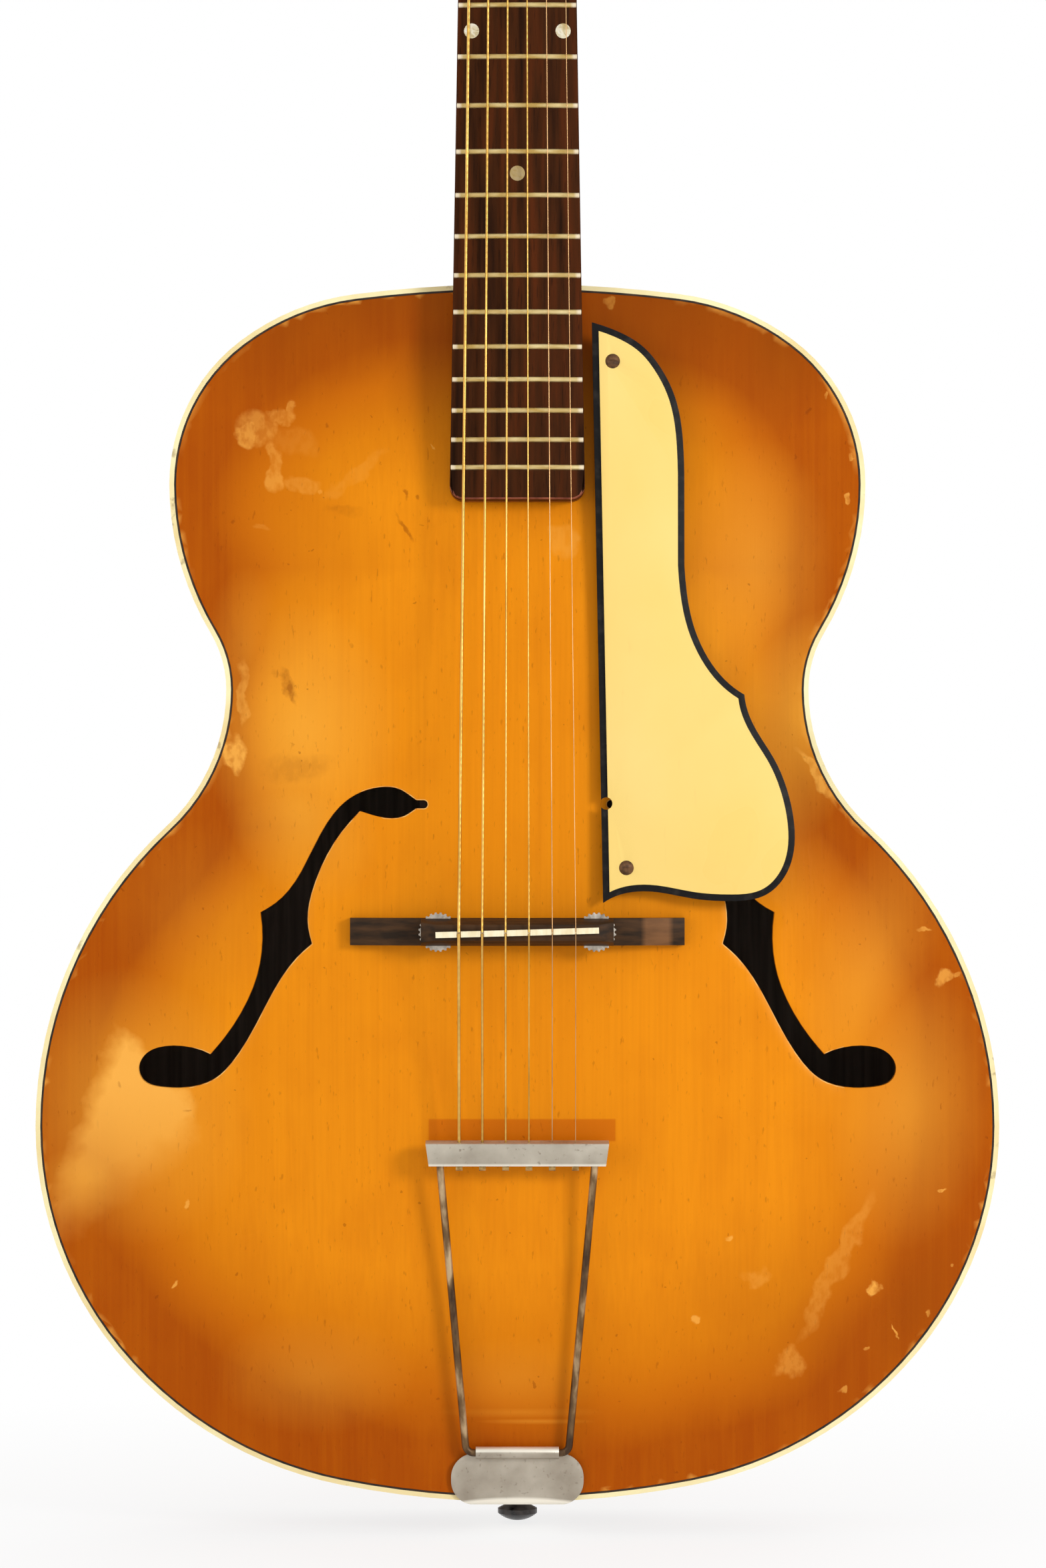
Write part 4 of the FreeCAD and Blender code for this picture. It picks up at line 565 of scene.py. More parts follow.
def rubbed(finish, place, spots, clear, full):
    """The share, over a surface, of the strongest of many oval marks, from clear of them to full within."""
    strongest = None
    for across, up, half_width, half_height, turn, strength in spots:
        oval = {"Vector": place, "Location": (across * millimetre, 0, up * millimetre),
                "Rotation": (0, math.radians(turn), 0),
                "Scale": (half_width * millimetre, 1 / millimetre, half_height * millimetre)}
        local = put(finish, "Mapping", oval, vector_type="TEXTURE").outputs["Vector"]
        reach = put(finish, "VectorMath", {0: local}, operation="LENGTH").outputs["Value"]
        mark = spread(finish, reach, clear, full, 0.0, strength)
        strongest = mark if strongest is None else calc(finish, "MAXIMUM", strongest, mark)
    return strongest


def bounded(finish, place, edges):
    """The share of a surface that lies inside some straight soft edges."""
    inside = 1.0
    for across, up, way, soft in edges:
        out = (math.cos(math.radians(way)), 0, math.sin(math.radians(way)))
        start = across * out[0] + up * out[2]
        reach = vector_calc(finish, "DOT_PRODUCT", place, out, out="Value")
        step = spread(finish, reach, (start - soft) * millimetre, (start + soft) * millimetre, 1.0, 0.0)
        inside = calc(finish, "MULTIPLY", step, inside)
    return inside


def between(finish, value, low, high, soft):
    """One inside a range and zero outside it, with a soft step at each end."""
    rise = spread(finish, value, low - soft, low + soft)
    fall = spread(finish, value, high - soft, high + soft, 1.0, 0.0)
    return calc(finish, "MULTIPLY", rise, fall)


top_lacquer = new_finish("top_lacquer", 0.34, specular=0.2, sheen=amber_sheen)
top_place = own_place(top_lacquer)
top_axes = own_axes(top_lacquer)
top_rim = rim_of(top_lacquer)

# The sprayed field, which reaches nearer to the edge at the waist and at the sides
from_waist = calc(top_lacquer, "ABSOLUTE", calc(top_lacquer, "SUBTRACT", top_axes["Z"], waist_height))
waist_gain = spread(top_lacquer, from_waist, 0.0, waist_reach, waist_lift, 1.0)
side_gain = between(top_lacquer, top_axes["Z"], *light_sides, light_sides_soft)
side_gain = calc(top_lacquer, "MULTIPLY", side_gain, light_sides_lift)
burst_gain = calc(top_lacquer, "ADD", waist_gain, side_gain)
top_cloud = speckle(top_lacquer, top_clouds, detail=2.0)
top_cloud = spread(top_lacquer, top_cloud, 0.25, 0.75, -burst_drift, burst_drift)
top_depth = calc(top_lacquer, "ADD", calc(top_lacquer, "MULTIPLY", top_rim, burst_gain), top_cloud)
top_share = spread(top_lacquer, top_depth, 0.0, burst_reach)
top_colour = colours(top_lacquer, top_share,
                     ((0.25, top_brown), (0.45, top_tan), (0.64, top_amber), (1.0, top_gold)))

# Grain, bands and mottling of the wood, and the strip that the bar shaded
top_streaks = speckle(top_lacquer, top_grain, detail=5.0)
top_banding = speckle(top_lacquer, top_bands, detail=2.0)
top_mottle = speckle(top_lacquer, top_mottling, detail=3.0)
for figure_share in (spread(top_lacquer, top_streaks, 0.4, 0.8, 0.0, streak_strength),
                     spread(top_lacquer, top_banding, 0.42, 0.75, 0.0, band_strength),
                     spread(top_lacquer, top_mottle, 0.45, 0.8, 0.0, mottle_strength)):
    top_colour = mix(top_lacquer, figure_share, top_colour, top_tan)
in_bar_mark = calc(top_lacquer, "MULTIPLY",
                   between(top_lacquer, top_axes["X"], unfaded_low[0], unfaded_high[0], unfaded_soft),
                   between(top_lacquer, top_axes["Z"], unfaded_low[1], unfaded_high[1], unfaded_soft))
in_bar_mark = calc(top_lacquer, "MULTIPLY", in_bar_mark, unfaded_strength)
top_colour = mix(top_lacquer, in_bar_mark, top_colour, top_unfaded)

# Wear, whose ragged outlines come from a wandering place, then painted sheen and painted shadow
wander = put(top_lacquer, "TexNoise", {"Vector": top_place, "Scale": wander_clouds, "Detail": 7.0})
wander = vector_calc(top_lacquer, "SUBTRACT", wander.outputs["Color"], (0.5, 0.5, 0.5))
wander = vector_calc(top_lacquer, "SCALE", wander, wear_wander, key="Scale")
rough_place = vector_calc(top_lacquer, "ADD", top_place, wander)
worn_grit = spread(top_lacquer, speckle(top_lacquer, worn_grain, detail=5.0), 0.36, 0.56, 0.45, 1.0)
worn_share = rubbed(top_lacquer, rough_place, worn_spots, *worn_fade)
worn_share = calc(top_lacquer, "MULTIPLY", worn_share, worn_grit)
bare_strength = spread(top_lacquer, top_axes["Z"], *bare_fade, *bare_strengths)
bare_share = calc(top_lacquer, "MULTIPLY", bounded(top_lacquer, rough_place, bare_edges), bare_strength)
worn_share = calc(top_lacquer, "MAXIMUM", worn_share, bare_share)
dent_share = rubbed(top_lacquer, rough_place, dark_spots, *dent_fade)
dent_share = calc(top_lacquer, "MULTIPLY", dent_share, worn_grit)
chips = put(top_lacquer, "TexVoronoi", {"Vector": rough_place, "Scale": chip_count}).outputs["Distance"]
chip_reach = spread(top_lacquer, top_mottle, 0.38, 0.72, 0.0, chip_size)
chip_share = calc(top_lacquer, "MULTIPLY", calc(top_lacquer, "LESS_THAN", chips, chip_reach), chip_strength)
pore_marks = spread(top_lacquer, speckle(top_lacquer, top_pores, detail=2.0), 0.66, 0.76, 0.0, pore_strength)
chip_share = calc(top_lacquer, "MAXIMUM", chip_share, pore_marks)
rim_cloud = spread(top_lacquer, speckle(top_lacquer, rubbed_rim_clouds), 0.48, 0.6)
rim_share = spread(top_lacquer, top_rim, *rubbed_rim, rubbed_rim_strength, 0.0)
rim_share = calc(top_lacquer, "MULTIPLY", rim_share, rim_cloud)
# Painted sheen and painted shadow go on before the chips, the wear and the dents
for wear_share, wear_colour in ((rubbed(top_lacquer, top_place, sheen_and_scuff_spots, *soft_fade), top_sheen_and_scuff),
                                (rubbed(top_lacquer, top_place, burst_and_shadow_spots, *soft_fade), top_burst_and_shadow),
                                (chip_share, top_dent), (worn_share, top_worn), (rim_share, top_worn),
                                (dent_share, top_dent)):
    top_colour = mix(top_lacquer, wear_share, top_colour, wear_colour)
wire(top_lacquer, top_colour, "Base Color")
top_rough = spread(top_lacquer, speckle(top_lacquer, top_dull_clouds), *cloud_range, *top_gloss)
wear_rough = calc(top_lacquer, "MULTIPLY", worn_share, worn_dulling)
wire(top_lacquer, calc(top_lacquer, "ADD", top_rough, wear_rough), "Roughness")
dent_drop = calc(top_lacquer, "MULTIPLY", dent_share, dent_sink)
relief(top_lacquer, calc(top_lacquer, "SUBTRACT", top_streaks, dent_drop), top_grain_depth)
hole_edge = clouded("hole_edge", (300, 300, 60), top_amber, top_filed,
                    roughness=0.5, specular=0.2, sheen=amber_sheen)


def cut_away(piece, cutter):
    """Cuts a shape out of a piece and throws the shape away."""
    pick(piece)
    cut = piece.modifiers.new("cut", "BOOLEAN")
    cut.object = cutter
    bpy.ops.object.modifier_apply(modifier=cut.name)
    bpy.data.objects.remove(cutter)


def rounded_block(middle, size, radius):
    """A block with its edges taken off, to cut with."""
    bpy.ops.object.select_all(action="DESELECT")
    bpy.ops.mesh.primitive_cube_add(size=1, location=middle, scale=size)
    block = bpy.context.object
    bpy.ops.object.transform_apply(location=True, rotation=True, scale=True)
    bpy.ops.object.mode_set(mode="EDIT")
    bpy.ops.mesh.select_all(action="SELECT")
    bpy.ops.mesh.bevel(offset=radius, segments=4)
    bpy.ops.object.mode_set(mode="OBJECT")
    return block


def file_holes(piece, depth):
    """Takes wood off the walls of the sound holes, so that they stand further apart."""
    rim = piece.data.attributes["rim"].data
    ways = {}
    for face in piece.data.polygons:
        is_wall = abs(face.normal.y) < 0.5
        if is_wall and all(rim[index].value > hole_margin for index in face.vertices):
            for index in face.vertices:
                ways[index] = ways.get(index, Vector()) + face.normal * face.area
    for index, way in ways.items():
        way.y = 0
        piece.data.vertices[index].co -= depth * way.normalized()


def break_edges(piece, width, wanted):
    """Bevels the sharp edges whose middle is at a wanted place, and leaves the new faces selected."""
    choose_none(piece, "EDGE")
    bpy.ops.object.mode_set(mode="EDIT")
    bpy.ops.mesh.edges_select_sharp(sharpness=smooth_angle)
    bpy.ops.object.mode_set(mode="OBJECT")
    for edge in piece.data.edges:
        ends = [piece.data.vertices[index].co for index in edge.vertices]
        edge.select = edge.select and wanted((ends[0] + ends[1]) / 2)
    bpy.ops.object.mode_set(mode="EDIT")
    bpy.ops.mesh.bevel(offset=width, segments=2)
    bpy.ops.object.mode_set(mode="OBJECT")


def on_hole_edge(place):
    """Whether a place on the top lies on the front edge of a sound hole, far inside the rim."""
    from_rim = top_rim_tree.find((place.x, 0, place.z))[2]
    return from_rim > hole_margin and place.y < top_low.y / 2 + top_high.y / 2


top_low, top_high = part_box("top_plate")
top = merged_copy("top_plate", "top_lacquered")
for side in (-1, 1):
    nib_middle = (side * nib_place[0], (top_low.y + top_high.y) / 2, nib_place[1])
    cut_away(top, rounded_block(nib_middle, (nib_size[0], top_high.y - top_low.y, nib_size[1]), nib_round))
divide_long_edges(top, longest_edge)
top_rim_tree = mark_rim(top, "top_purfling")
file_holes(top, hole_filed)
break_edges(top, hole_round, on_hole_edge)
worn_edge = [face.index for face in top.data.polygons if face.select and face.normal.x * face.center.x > 0]
stand_for(top, "top_plate", top_lacquer)
inner_faces(top, bare_wood, -1)
top.data.materials.append(hole_edge)
for index in worn_edge:
    top.data.polygons[index].material_index = 2

# Binding and purfling
# Strips of ivory plastic let into both edges of the body, yellow with age, scraped flush and a little dirty.
# A thin black line of the same plastic lies inside the front one.
ivory_light = tint(255, 245, 192)
ivory_dark = tint(240, 216, 152)
ivory_dirt = tint(128, 92, 46)
ivory_dirt_strength = 0.5
line_black = tint(22, 17, 14)
line_rubbed = tint(66, 44, 26)

ivory_binding = new_finish("ivory_binding", 0.38, specular=0.4)
ivory_cloud = speckle(ivory_binding, 30, detail=5.0)
ivory_colour = colours(ivory_binding, ivory_cloud, ((0.3, ivory_dark), (0.62, ivory_light)))
ivory_marks = speckle(ivory_binding, 160, detail=3.0)
ivory_marks = spread(ivory_binding, ivory_marks, 0.66, 0.74, 0.0, ivory_dirt_strength)
wire(ivory_binding, mix(ivory_binding, ivory_marks, ivory_colour, ivory_dirt), "Base Color")
relief(ivory_binding, ivory_cloud, 0.0001)
black_line = clouded("black_line", 140, line_black, line_rubbed, ends=(0.35, 0.75),
                     detail=3.0, roughness=0.5, specular=0.3)
for edging in ("top_binding", "back_binding"):
    renew(edging, "_scraped", ivory_binding)
renew("top_purfling", "_line", black_line)

# End pin
# A turned button of black plastic pressed into the tail block, which holds the strap.
# It is polished on its dome, and dusty and finely scratched round the rim.
pin_dark = tint(30, 27, 28)
pin_dusty = tint(92, 84, 82)

pin_black = clouded("pin_black", 260, pin_dark, pin_dusty, ends=(0.35, 0.8),
                    gloss=(0.25, 0.5), depth=0.00005, roughness=0.35, specular=0.45)
renew("end_pin", "_turned", pin_black)

# Neck
# One piece of hardwood with its heel and headstock, stained red brown and lacquered.
# The lacquer is thin and paler in places along the shaft, where the thumb runs.
neck_red = tint(116, 52, 22)
neck_deep = tint(66, 26, 10)
neck_pale = tint(150, 84, 40)
neck_grain = (230, 230, 7)
neck_clouds = (18, 18, 5)
neck_rubbed_strength = 0.4

neck_lacquer = new_finish("neck_lacquer", 0.4, specular=0.18, sheen=amber_sheen)
neck_streaks = speckle(neck_lacquer, neck_grain, detail=6.0, distortion=0.3)
neck_cloud = speckle(neck_lacquer, neck_clouds, detail=3.0)
neck_colour = colours(neck_lacquer, neck_streaks, ((0.3, neck_deep), (0.6, neck_red)))
neck_rubbed = spread(neck_lacquer, neck_cloud, 0.5, 0.8, 0.0, neck_rubbed_strength)
wire(neck_lacquer, mix(neck_lacquer, neck_rubbed, neck_colour, neck_pale), "Base Color")
relief(neck_lacquer, neck_streaks, 0.00005)
renew("neck", "_lacquered", neck_lacquer)

# Headstock veneer
# A sheet of dark wood glued over the face of the headstock, blackened and polished.
# Nothing is written on it; its edge is broken by sanding, and the bushings come through it.
veneer_dark = tint(18, 13, 11)
veneer_brown = tint(48, 32, 24)
veneer_round = 0.0003

veneer_black = clouded("veneer_black", (300, 300, 8), veneer_dark, veneer_brown, ends=(0.3, 0.75),
                       detail=5.0, depth=0.00004, roughness=0.22, specular=0.5)
renew("headstock_veneer", "_polished", veneer_black, veneer_round)

# Fretboard
# A tapered, slightly cambered board of red-brown rosewood, oiled and not lacquered, glued along the neck.
# Fine dark pores and broad red and black streaks run along it. Its end over the top is rounded, with a
# painted highlight in paler red on the rounded edge.
board_red = tint(86, 41, 18)
board_brown = tint(66, 35, 17)
board_black = tint(40, 22, 13)
# Painted highlight on the rounded end edge of the board
board_end_highlight_dark = tint(104, 48, 30)
board_end_highlight_light = tint(146, 80, 56)
board_pore_strength = 0.55
board_end = 0.006
board_round = 0.0008

rosewood = new_finish("rosewood", 0.6, specular=0.02)
board_streaks = speckle(rosewood, (260, 260, 5), detail=5.0, distortion=0.2)
board_pores = speckle(rosewood, (1500, 1500, 60), detail=2.0)
board_colour = colours(rosewood, board_streaks, ((0.28, board_black), (0.48, board_brown), (0.7, board_red)))
pore_share = spread(rosewood, board_pores, 0.6, 0.7, 0.0, board_pore_strength)
wire(rosewood, mix(rosewood, pore_share, board_colour, board_black), "Base Color")
relief(rosewood, calc(rosewood, "SUBTRACT", board_streaks, pore_share), 0.00006)
rosewood_edge_highlight = clouded("rosewood_edge_highlight", 300, board_end_highlight_dark, board_end_highlight_light,
                        detail=3.0, roughness=0.4, specular=0.2)


def on_board_end(place):
    """Whether a place on the board lies on the front edge of the end that stands over the top."""
    return place.z < board_low.z + board_end and place.y < board_low.y + board_end


board_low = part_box("fretboard")[0]
board = merged_copy("fretboard", "fretboard_oiled")
break_edges(board, board_round, on_board_end)
rounded_end = [face.index for face in board.data.polygons if face.select]
stand_for(board, "fretboard", rosewood)
board.data.materials.append(rosewood_edge_highlight)
for index in rounded_end:
    board.data.polygons[index].material_index = 1

# Frets
# Twenty pieces of drawn nickel-silver wire with a domed crown, hammered into slots across the board.
# They are yellow with age, and their filed ends carry a painted highlight in near white.
fret_gold = tint(190, 156, 84)
fret_bright = tint(228, 208, 152)
fret_end_highlight = tint(246, 230, 202)
fret_gloss = (0.25, 0.45)
end_highlight_depth = (0.0024, 0.0012)
end_highlight_strength = 0.75

fret_metal = new_finish("fret_metal", 0.34, metallic=0.75)
fret_cloud = speckle(fret_metal, (90, 90, 400))
fret_colour = colours(fret_metal, fret_cloud, ((0.35, fret_gold), (0.7, fret_bright)))
fret_low, fret_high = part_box("frets")
first_fret_half = max(vertex.co.x for vertex in frame["nodes"]["frets"].data.vertices
                      if vertex.co.z > fret_high.z - 2 * end_highlight_depth[0])
fret_axes = own_axes(fret_metal)
fret_half = spread(fret_metal, fret_axes["Z"], fret_low.z, fret_high.z, fret_high.x, first_fret_half)
from_end = calc(fret_metal, "SUBTRACT", fret_half, calc(fret_metal, "ABSOLUTE", fret_axes["X"]))
# Painted highlight towards the ends of each fret
end_highlight_share = spread(fret_metal, from_end, *end_highlight_depth, 0.0, end_highlight_strength)
wire(fret_metal, mix(fret_metal, end_highlight_share, fret_colour, fret_end_highlight), "Base Color")
wire(fret_metal, spread(fret_metal, fret_cloud, *cloud_range, *fret_gloss), "Roughness")
renew("frets", "_drawn", fret_metal)

# Position dots
# Discs of pearl shell glued into drilled seats in the board, one of the middle ones yellow with age.
# Smaller ones are let into the edge of the board, where the player sees them.
pearl_dark = tint(186, 164, 112)
pearl_cream = tint(226, 214, 180)
pearl_white = tint(240, 236, 222)
pearl_yellow = tint(162, 132, 66)
aged_dot = (0.566, 0.584)
aged_soft = 0.001
aged_strength = 0.85

pearl = new_finish("pearl", 0.25, specular=0.5)
pearl_cloud = speckle(pearl, 330, detail=2.0, distortion=1.2)
pearl_colour = colours(pearl, pearl_cloud, ((0.3, pearl_dark), (0.5, pearl_cream), (0.7, pearl_white)))
pearl_aged = between(pearl, own_axes(pearl)["Z"], *aged_dot, aged_soft)
pearl_aged = calc(pearl, "MULTIPLY", pearl_aged, aged_strength)
wire(pearl, mix(pearl, pearl_aged, pearl_colour, pearl_yellow), "Base Color")
renew("position_dots", "_pearl", pearl)

# Nut
# A bar of bone glued at the end of the board, with a filed slot for each string.
# It is polished on top and yellow in its pores.
bone_yellow = tint(238, 220, 174)
bone_white = tint(254, 243, 208)

bone = clouded("bone", (420, 420, 120), bone_yellow, bone_white, ends=(0.3, 0.6),
               detail=5.0, depth=0.00005, roughness=0.35, specular=0.45)
renew("nut", "_filed", bone)

# Bridge
# A base of dark wood fitted to the arch, two steel posts with grooved wheels, and a dark saddle that carries
# a bone strip. It stands loose under the strings; its right wing is rubbed to a paler brown and its edges
# are worn round.
bridge_dark = tint(44, 33, 24)
bridge_brown = tint(78, 54, 34)
bridge_rubbed = tint(128, 88, 56)
bridge_round = 0.0005
rubbed_wing = (0.0533, 0.0649)
rubbed_wing_soft = 0.0012
steel_grey = tint(170, 162, 148)
steel_bright = tint(224, 219, 208)
wheel_grey = tint(128, 119, 107)
wheel_bright = tint(200, 191, 178)
wheel_round = 0.0002

bridge_wood = new_finish("bridge_wood", 0.48, specular=0.08)
bridge_streaks = speckle(bridge_wood, (30, 420, 420), detail=5.0)
bridge_colour = colours(bridge_wood, bridge_streaks, ((0.35, bridge_dark), (0.7, bridge_brown)))
wing_share = between(bridge_wood, own_axes(bridge_wood)["X"], *rubbed_wing, rubbed_wing_soft)
wing_grain = spread(bridge_wood, bridge_streaks, 0.2, 0.6, 0.5, 0.95)
wing_share = calc(bridge_wood, "MULTIPLY", wing_share, wing_grain)
wire(bridge_wood, mix(bridge_wood, wing_share, bridge_colour, bridge_rubbed), "Base Color")
relief(bridge_wood, bridge_streaks, 0.00008)
for wooden in ("bridge_base", "bridge_saddle"):
    renew(wooden, "_carved", bridge_wood, bridge_round)
renew("saddle_insert", "_filed", bone)

bridge_steel = clouded("bridge_steel", 300, steel_grey, steel_bright, ends=(0.3, 0.65),
                       gloss=(0.22, 0.45), roughness=0.3, metallic=0.85)
renew("bridge_posts", "_steel", bridge_steel)
wheel_steel = clouded("wheel_steel", 260, wheel_grey, wheel_bright,
                      roughness=0.4, metallic=0.9)
for wheel in ("thumbwheel_bass", "thumbwheel_treble"):
    renew(wheel, "_grooved", wheel_steel, wheel_round)

# Pickguard
# A plate of two-layer plastic, cream over black, with its edge cut back so that the black shows as a border.
# It stands on two short pillars and is held by two slotted screws, now brown with rust.
guard_cream = tint(248, 212, 118)
guard_pale = tint(251, 219, 132)
guard_scuffed = tint(224, 190, 110)
guard_scuff_strength = 0.18
guard_gloss = (0.24, 0.4)
guard_black = tint(15, 13, 13)
guard_grey = tint(52, 47, 43)
guard_base_round = 0.0006
guard_face_round = 0.0003
rust_dark = tint(58, 36, 20)
rust_light = tint(120, 82, 48)

guard_face = new_finish("guard_face", 0.34, specular=0.2)
guard_cloud = speckle(guard_face, (14, 14, 10), detail=3.0)
guard_colour = colours(guard_face, guard_cloud, ((0.35, guard_cream), (0.7, guard_pale)))
guard_scuffs = spread(guard_face, speckle(guard_face, (300, 300, 60)), 0.66, 0.8, 0.0, guard_scuff_strength)
wire(guard_face, mix(guard_face, guard_scuffs, guard_colour, guard_scuffed), "Base Color")
wire(guard_face, spread(guard_face, guard_cloud, *cloud_range, *guard_gloss), "Roughness")
guard_border = clouded("guard_border", 220, guard_black, guard_grey, ends=(0.5, 0.9),
                       roughness=0.4, specular=0.15)


def keep_faces(piece, wanted):
    """Takes away the faces of a piece that aren't wanted."""
    choose_none(piece, "FACE")
    for face in piece.data.polygons:
        face.select = not wanted(face)
    bpy.ops.object.mode_set(mode="EDIT")
    bpy.ops.mesh.delete(type="FACE")
    bpy.ops.object.mode_set(mode="OBJECT")


guard_base = merged_copy("pickguard", "pickguard_border")
guard_top = merged_copy("pickguard", "pickguard_face")
guard_out = min((face.normal.copy() for face in guard_base.data.polygons), key=lambda normal: normal.y)
guard_seam = max(face.center.dot(guard_out) for face in guard_base.data.polygons
                 if face.normal.dot(guard_out) < -0.99)


def on_guard_face(face):
    """Whether a face of the guard is of its cream layer, which begins at the seam."""
    height = face.center.dot(guard_out) - guard_seam
    return height > weld or (height > -weld and face.normal.dot(guard_out) < 0)


keep_faces(guard_base, lambda face: not on_guard_face(face))
keep_faces(guard_top, on_guard_face)
round_edges(guard_base, guard_base_round)
round_edges(guard_top, guard_face_round)
stand_for(guard_base, "pickguard", guard_border)
ride_along(guard_top, "pickguard", guard_face)

rusty_screw = clouded("rusty_screw", 500, rust_dark, rust_light,
                      depth=0.00008, roughness=0.5, metallic=0.45)
for fastening in ("pickguard_screws", "bracket_screws", "tuner_plate_screws"):
    renew(fastening, "_turned", rusty_screw)
dress("pickguard_spacers", bare_wood)

# Tailpiece
# Pressed and bent steel, plated and now dull grey: a bracket screwed to the tail, a wire that turns in its
# rolled edge, and a folded bar that the strings hook into. It is pitted and finely scratched, and a painted
# highlight lies along the bend of the bracket, the top of its rolled edge and the lower edge of the bar.
# The plate of the bracket has round corners.
tail_grey = tint(160, 150, 134)
tail_bright = tint(196, 188, 172)
tail_pit = tint(112, 96, 78)
tail_pit_strength = 0.6
# Painted highlight: near-white strips on the bends and edges
tail_highlight = tint(255, 250, 234)
tail_highlight_strength = 0.9
tail_gloss = (0.34, 0.52)
tail_round = 0.0004
bend_top = 0.0114
bend_soft = 0.0006
bend_curve = 3.0
highlight_edges = ((0.0316, 0.0340, 0.7), (0.1540, 0.1553, 0.6))
highlight_edge_soft = 0.0003
tab_half = 0.0282
tab_top = 0.03065
tab_bottom = 0.0082
tab_round = 0.0104
wire_rust = tint(66, 44, 24)
wire_brown = tint(118, 90, 56)
wire_bright = tint(196, 168, 128)

tail_metal = new_finish("tail_metal", 0.42, metallic=0.6)
tail_cloud = speckle(tail_metal, 70, detail=5.0)
tail_colour = colours(tail_metal, tail_cloud, ((0.3, tail_grey), (0.72, tail_bright)))
tail_pits = speckle(tail_metal, 480, detail=3.0)
tail_pits = spread(tail_metal, tail_pits, 0.62, 0.74, 0.0, tail_pit_strength)
tail_colour = mix(tail_metal, tail_pits, tail_colour, tail_pit)
tail_axes = own_axes(tail_metal)
bend_drop = calc(tail_metal, "MULTIPLY", tail_axes["X"], tail_axes["X"])
bend_drop = calc(tail_metal, "MULTIPLY", bend_drop, bend_curve)
bend_height = calc(tail_metal, "ADD", tail_axes["Z"], bend_drop)
highlight_share = spread(tail_metal, bend_height, bend_top - bend_soft, bend_top + bend_soft,
                  tail_highlight_strength, 0.0)
for edge_low, edge_high, edge_strength in highlight_edges:
    on_edge = between(tail_metal, tail_axes["Z"], edge_low, edge_high, highlight_edge_soft)
    on_edge = calc(tail_metal, "MULTIPLY", on_edge, edge_strength)
    highlight_share = calc(tail_metal, "MAXIMUM", highlight_share, on_edge)
wire(tail_metal, mix(tail_metal, highlight_share, tail_colour, tail_highlight), "Base Color")
wire(tail_metal, spread(tail_metal, tail_cloud, *cloud_range, *tail_gloss), "Roughness")
relief(tail_metal, tail_pits, 0.00006)


def cut_corner(piece, corner, inward, radius):
    """Cuts a corner of a flat plate to a round, right through it from front to back."""
    middle = Vector((corner[0] + inward[0] * radius, 0, corner[1] + inward[1] * radius))
    bpy.ops.object.select_all(action="DESELECT")
    block_middle = middle - Vector((inward[0], 0, inward[1])) * radius
    bpy.ops.mesh.primitive_cube_add(size=2 * radius, location=block_middle)
    block = bpy.context.object
    block.scale.y = 10
    bpy.ops.mesh.primitive_cylinder_add(vertices=96, radius=radius, depth=40 * radius, location=middle,
                                        rotation=(math.pi / 2, 0, 0))
    cut_away(block, bpy.context.object)
    cut_away(piece, block)


bracket = merged_copy("tailpiece_bracket", "tailpiece_bracket_pressed")
for side in (-1, 1):
    for height, inward in ((tab_top, -1), (tab_bottom, 1)):
        cut_corner(bracket, (side * tab_half, height), (-side, inward), tab_round)
bar = merged_copy("tailpiece_bar", "tailpiece_bar_pressed")
for piece, node in ((bracket, "tailpiece_bracket"), (bar, "tailpiece_bar")):
    round_edges(piece, tail_round)
    stand_for(piece, node, tail_metal)

trapeze_rust = clouded("trapeze_rust", (170, 170, 60), wire_rust, wire_brown, wire_bright, ends=(0.36, 0.68),
                       detail=5.0, depth=0.00008, roughness=0.42, metallic=0.55)
renew("tailpiece_trapeze", "_bent", trapeze_rust)

# Strings
# Four strings with a core wound in yellow bronze and two of plain steel, drawn tight from the tailpiece to
# the tuners. Brass balls under the bar hold their lower ends, and the nut and the saddle carry them.
bronze_dark = tint(182, 138, 62)
bronze_light = tint(226, 184, 98)
plain_dark = tint(176, 132, 86)
plain_light = tint(212, 170, 118)
ball_dark = tint(140, 104, 54)
ball_light = tint(214, 180, 116)
ball_size = 0.0029
wrap_pitch = 0.00045
wrap_depth = 0.00006
wave_bands = 20
wound_count = 4

bronze = clouded("bronze_winding", (200, 200, 30), bronze_dark, bronze_light,
                 detail=3.0, roughness=0.34, metallic=0.9)
bronze_turns = put(bronze, "TexWave", {"Vector": own_place(bronze), "Scale": 1 / (wrap_pitch * wave_bands)},
                   bands_direction="Z")
relief(bronze, bronze_turns.outputs["Fac"], wrap_depth)
plain_steel = clouded("plain_steel", (300, 300, 40), plain_dark, plain_light,
                      detail=3.0, roughness=0.3, metallic=0.9)
ball_brass = clouded("ball_brass", 500, ball_dark, ball_light,
                     detail=3.0, roughness=0.4, metallic=0.8)


def loose_pieces(piece):
    """The separate solids of a piece, each as an object of its own."""
    pick(piece)
    bpy.ops.mesh.separate(type="LOOSE")
    return list(bpy.context.selected_objects)


def reach_of(piece, axis):
    places = [vertex.co[axis] for vertex in piece.data.vertices]
    return min(places), max(places)


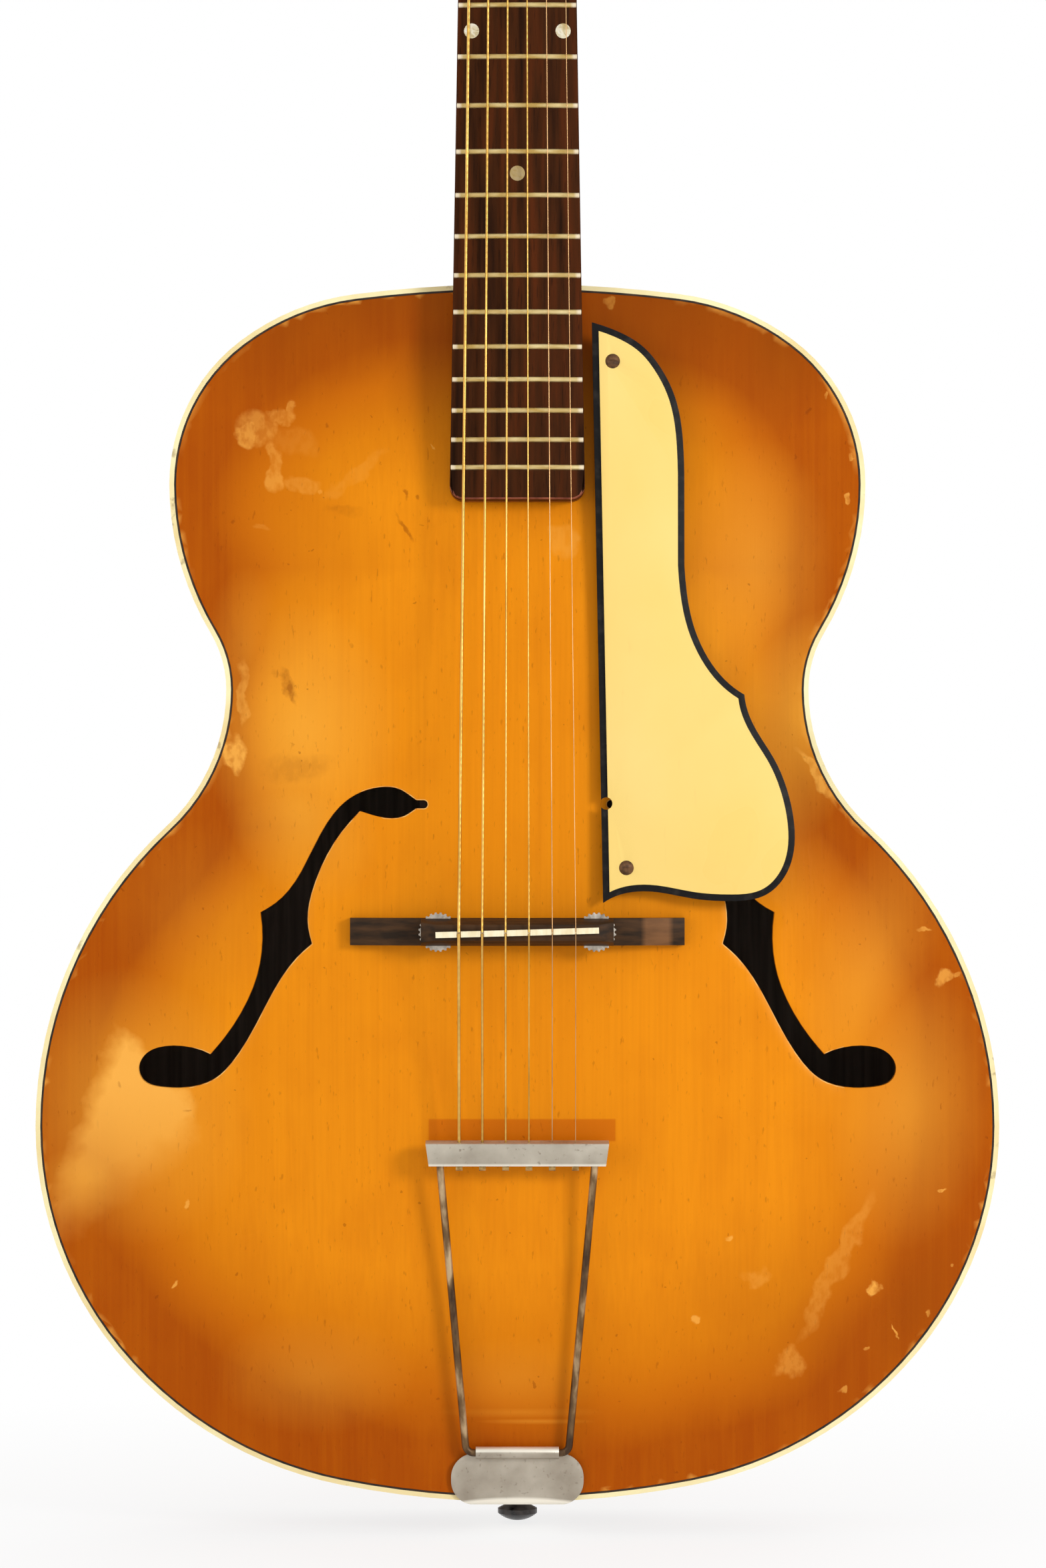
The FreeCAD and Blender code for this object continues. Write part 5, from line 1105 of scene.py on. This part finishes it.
ball_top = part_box("string_tails")[0].z + ball_size
for node in ("strings", "string_tails", "string_heads"):
    lengths = loose_pieces(merged_copy(node, node))
    if node == "string_heads":
        lengths.sort(key=lambda length: min(length.data.vertices, key=lambda vertex: vertex.co.z).co.x)
    else:
        lengths.sort(key=lambda length: sum(reach_of(length, 0)))
    for order, length in enumerate(lengths):
        length.name = node + "_" + str(len(lengths) - order)
        finish = bronze if order < wound_count else plain_steel
        if order == 0:
            stand_for(length, node, finish)
        else:
            ride_along(length, node, finish)
        length.data.materials.append(ball_brass)
        for face in length.data.polygons:
            face.material_index = int(face.center.z < ball_top)

# Tuning machines
# Two nickel straps screwed behind the headstock, each with three machines: a steel worm in folded ears, a
# brass gear on the post, and an ivory plastic button. The posts come through bushings in the face and carry
# three turns of string.
nickel_grey = tint(160, 150, 132)
nickel_bright = tint(212, 205, 192)
brass_dark = tint(150, 108, 46)
brass_light = tint(212, 172, 88)
button_dark = tint(214, 190, 132)
button_light = tint(240, 226, 182)
plate_round = 0.00015
string_count = 6
post_parts = ("_screw", "_winding", "_steel")

nickel = clouded("nickel", 120, nickel_grey, nickel_bright,
                 detail=5.0, gloss=(0.24, 0.46), roughness=0.3, metallic=0.85)
gear_brass = clouded("gear_brass", 260, brass_dark, brass_light,
                     gloss=(0.28, 0.5), roughness=0.35, metallic=0.85)
button_ivory = clouded("button_ivory", (60, 60, 160), button_dark, button_light,
                       distortion=0.6, depth=0.00005, roughness=0.3, specular=0.45)
for metal in ("tuner_plates", "post_bushings"):
    renew(metal, "_plated", nickel, plate_round)
for string in range(1, string_count + 1):
    node = "tuner_post_" + str(string)
    parts = loose_pieces(merged_copy(node, node))
    parts.sort(key=lambda part: reach_of(part, 2)[1] - reach_of(part, 2)[0])
    winding = bronze if string > string_count - wound_count else plain_steel
    for part, ending, finish in zip(parts, post_parts, (nickel, winding, nickel)):
        part.name = node + ending
        if part == parts[-1]:
            stand_for(part, node, finish)
        else:
            ride_along(part, node, finish)
    for kind, made_of, finish in (("gear", "brass", gear_brass), ("worm", "steel", nickel),
                                  ("button", "ivory", button_ivory)):
        node = "tuner_" + kind + "_" + str(string)
        stand_for(merged_copy(node, "tuner_" + kind + "_" + made_of + "_" + str(string)), node, finish)
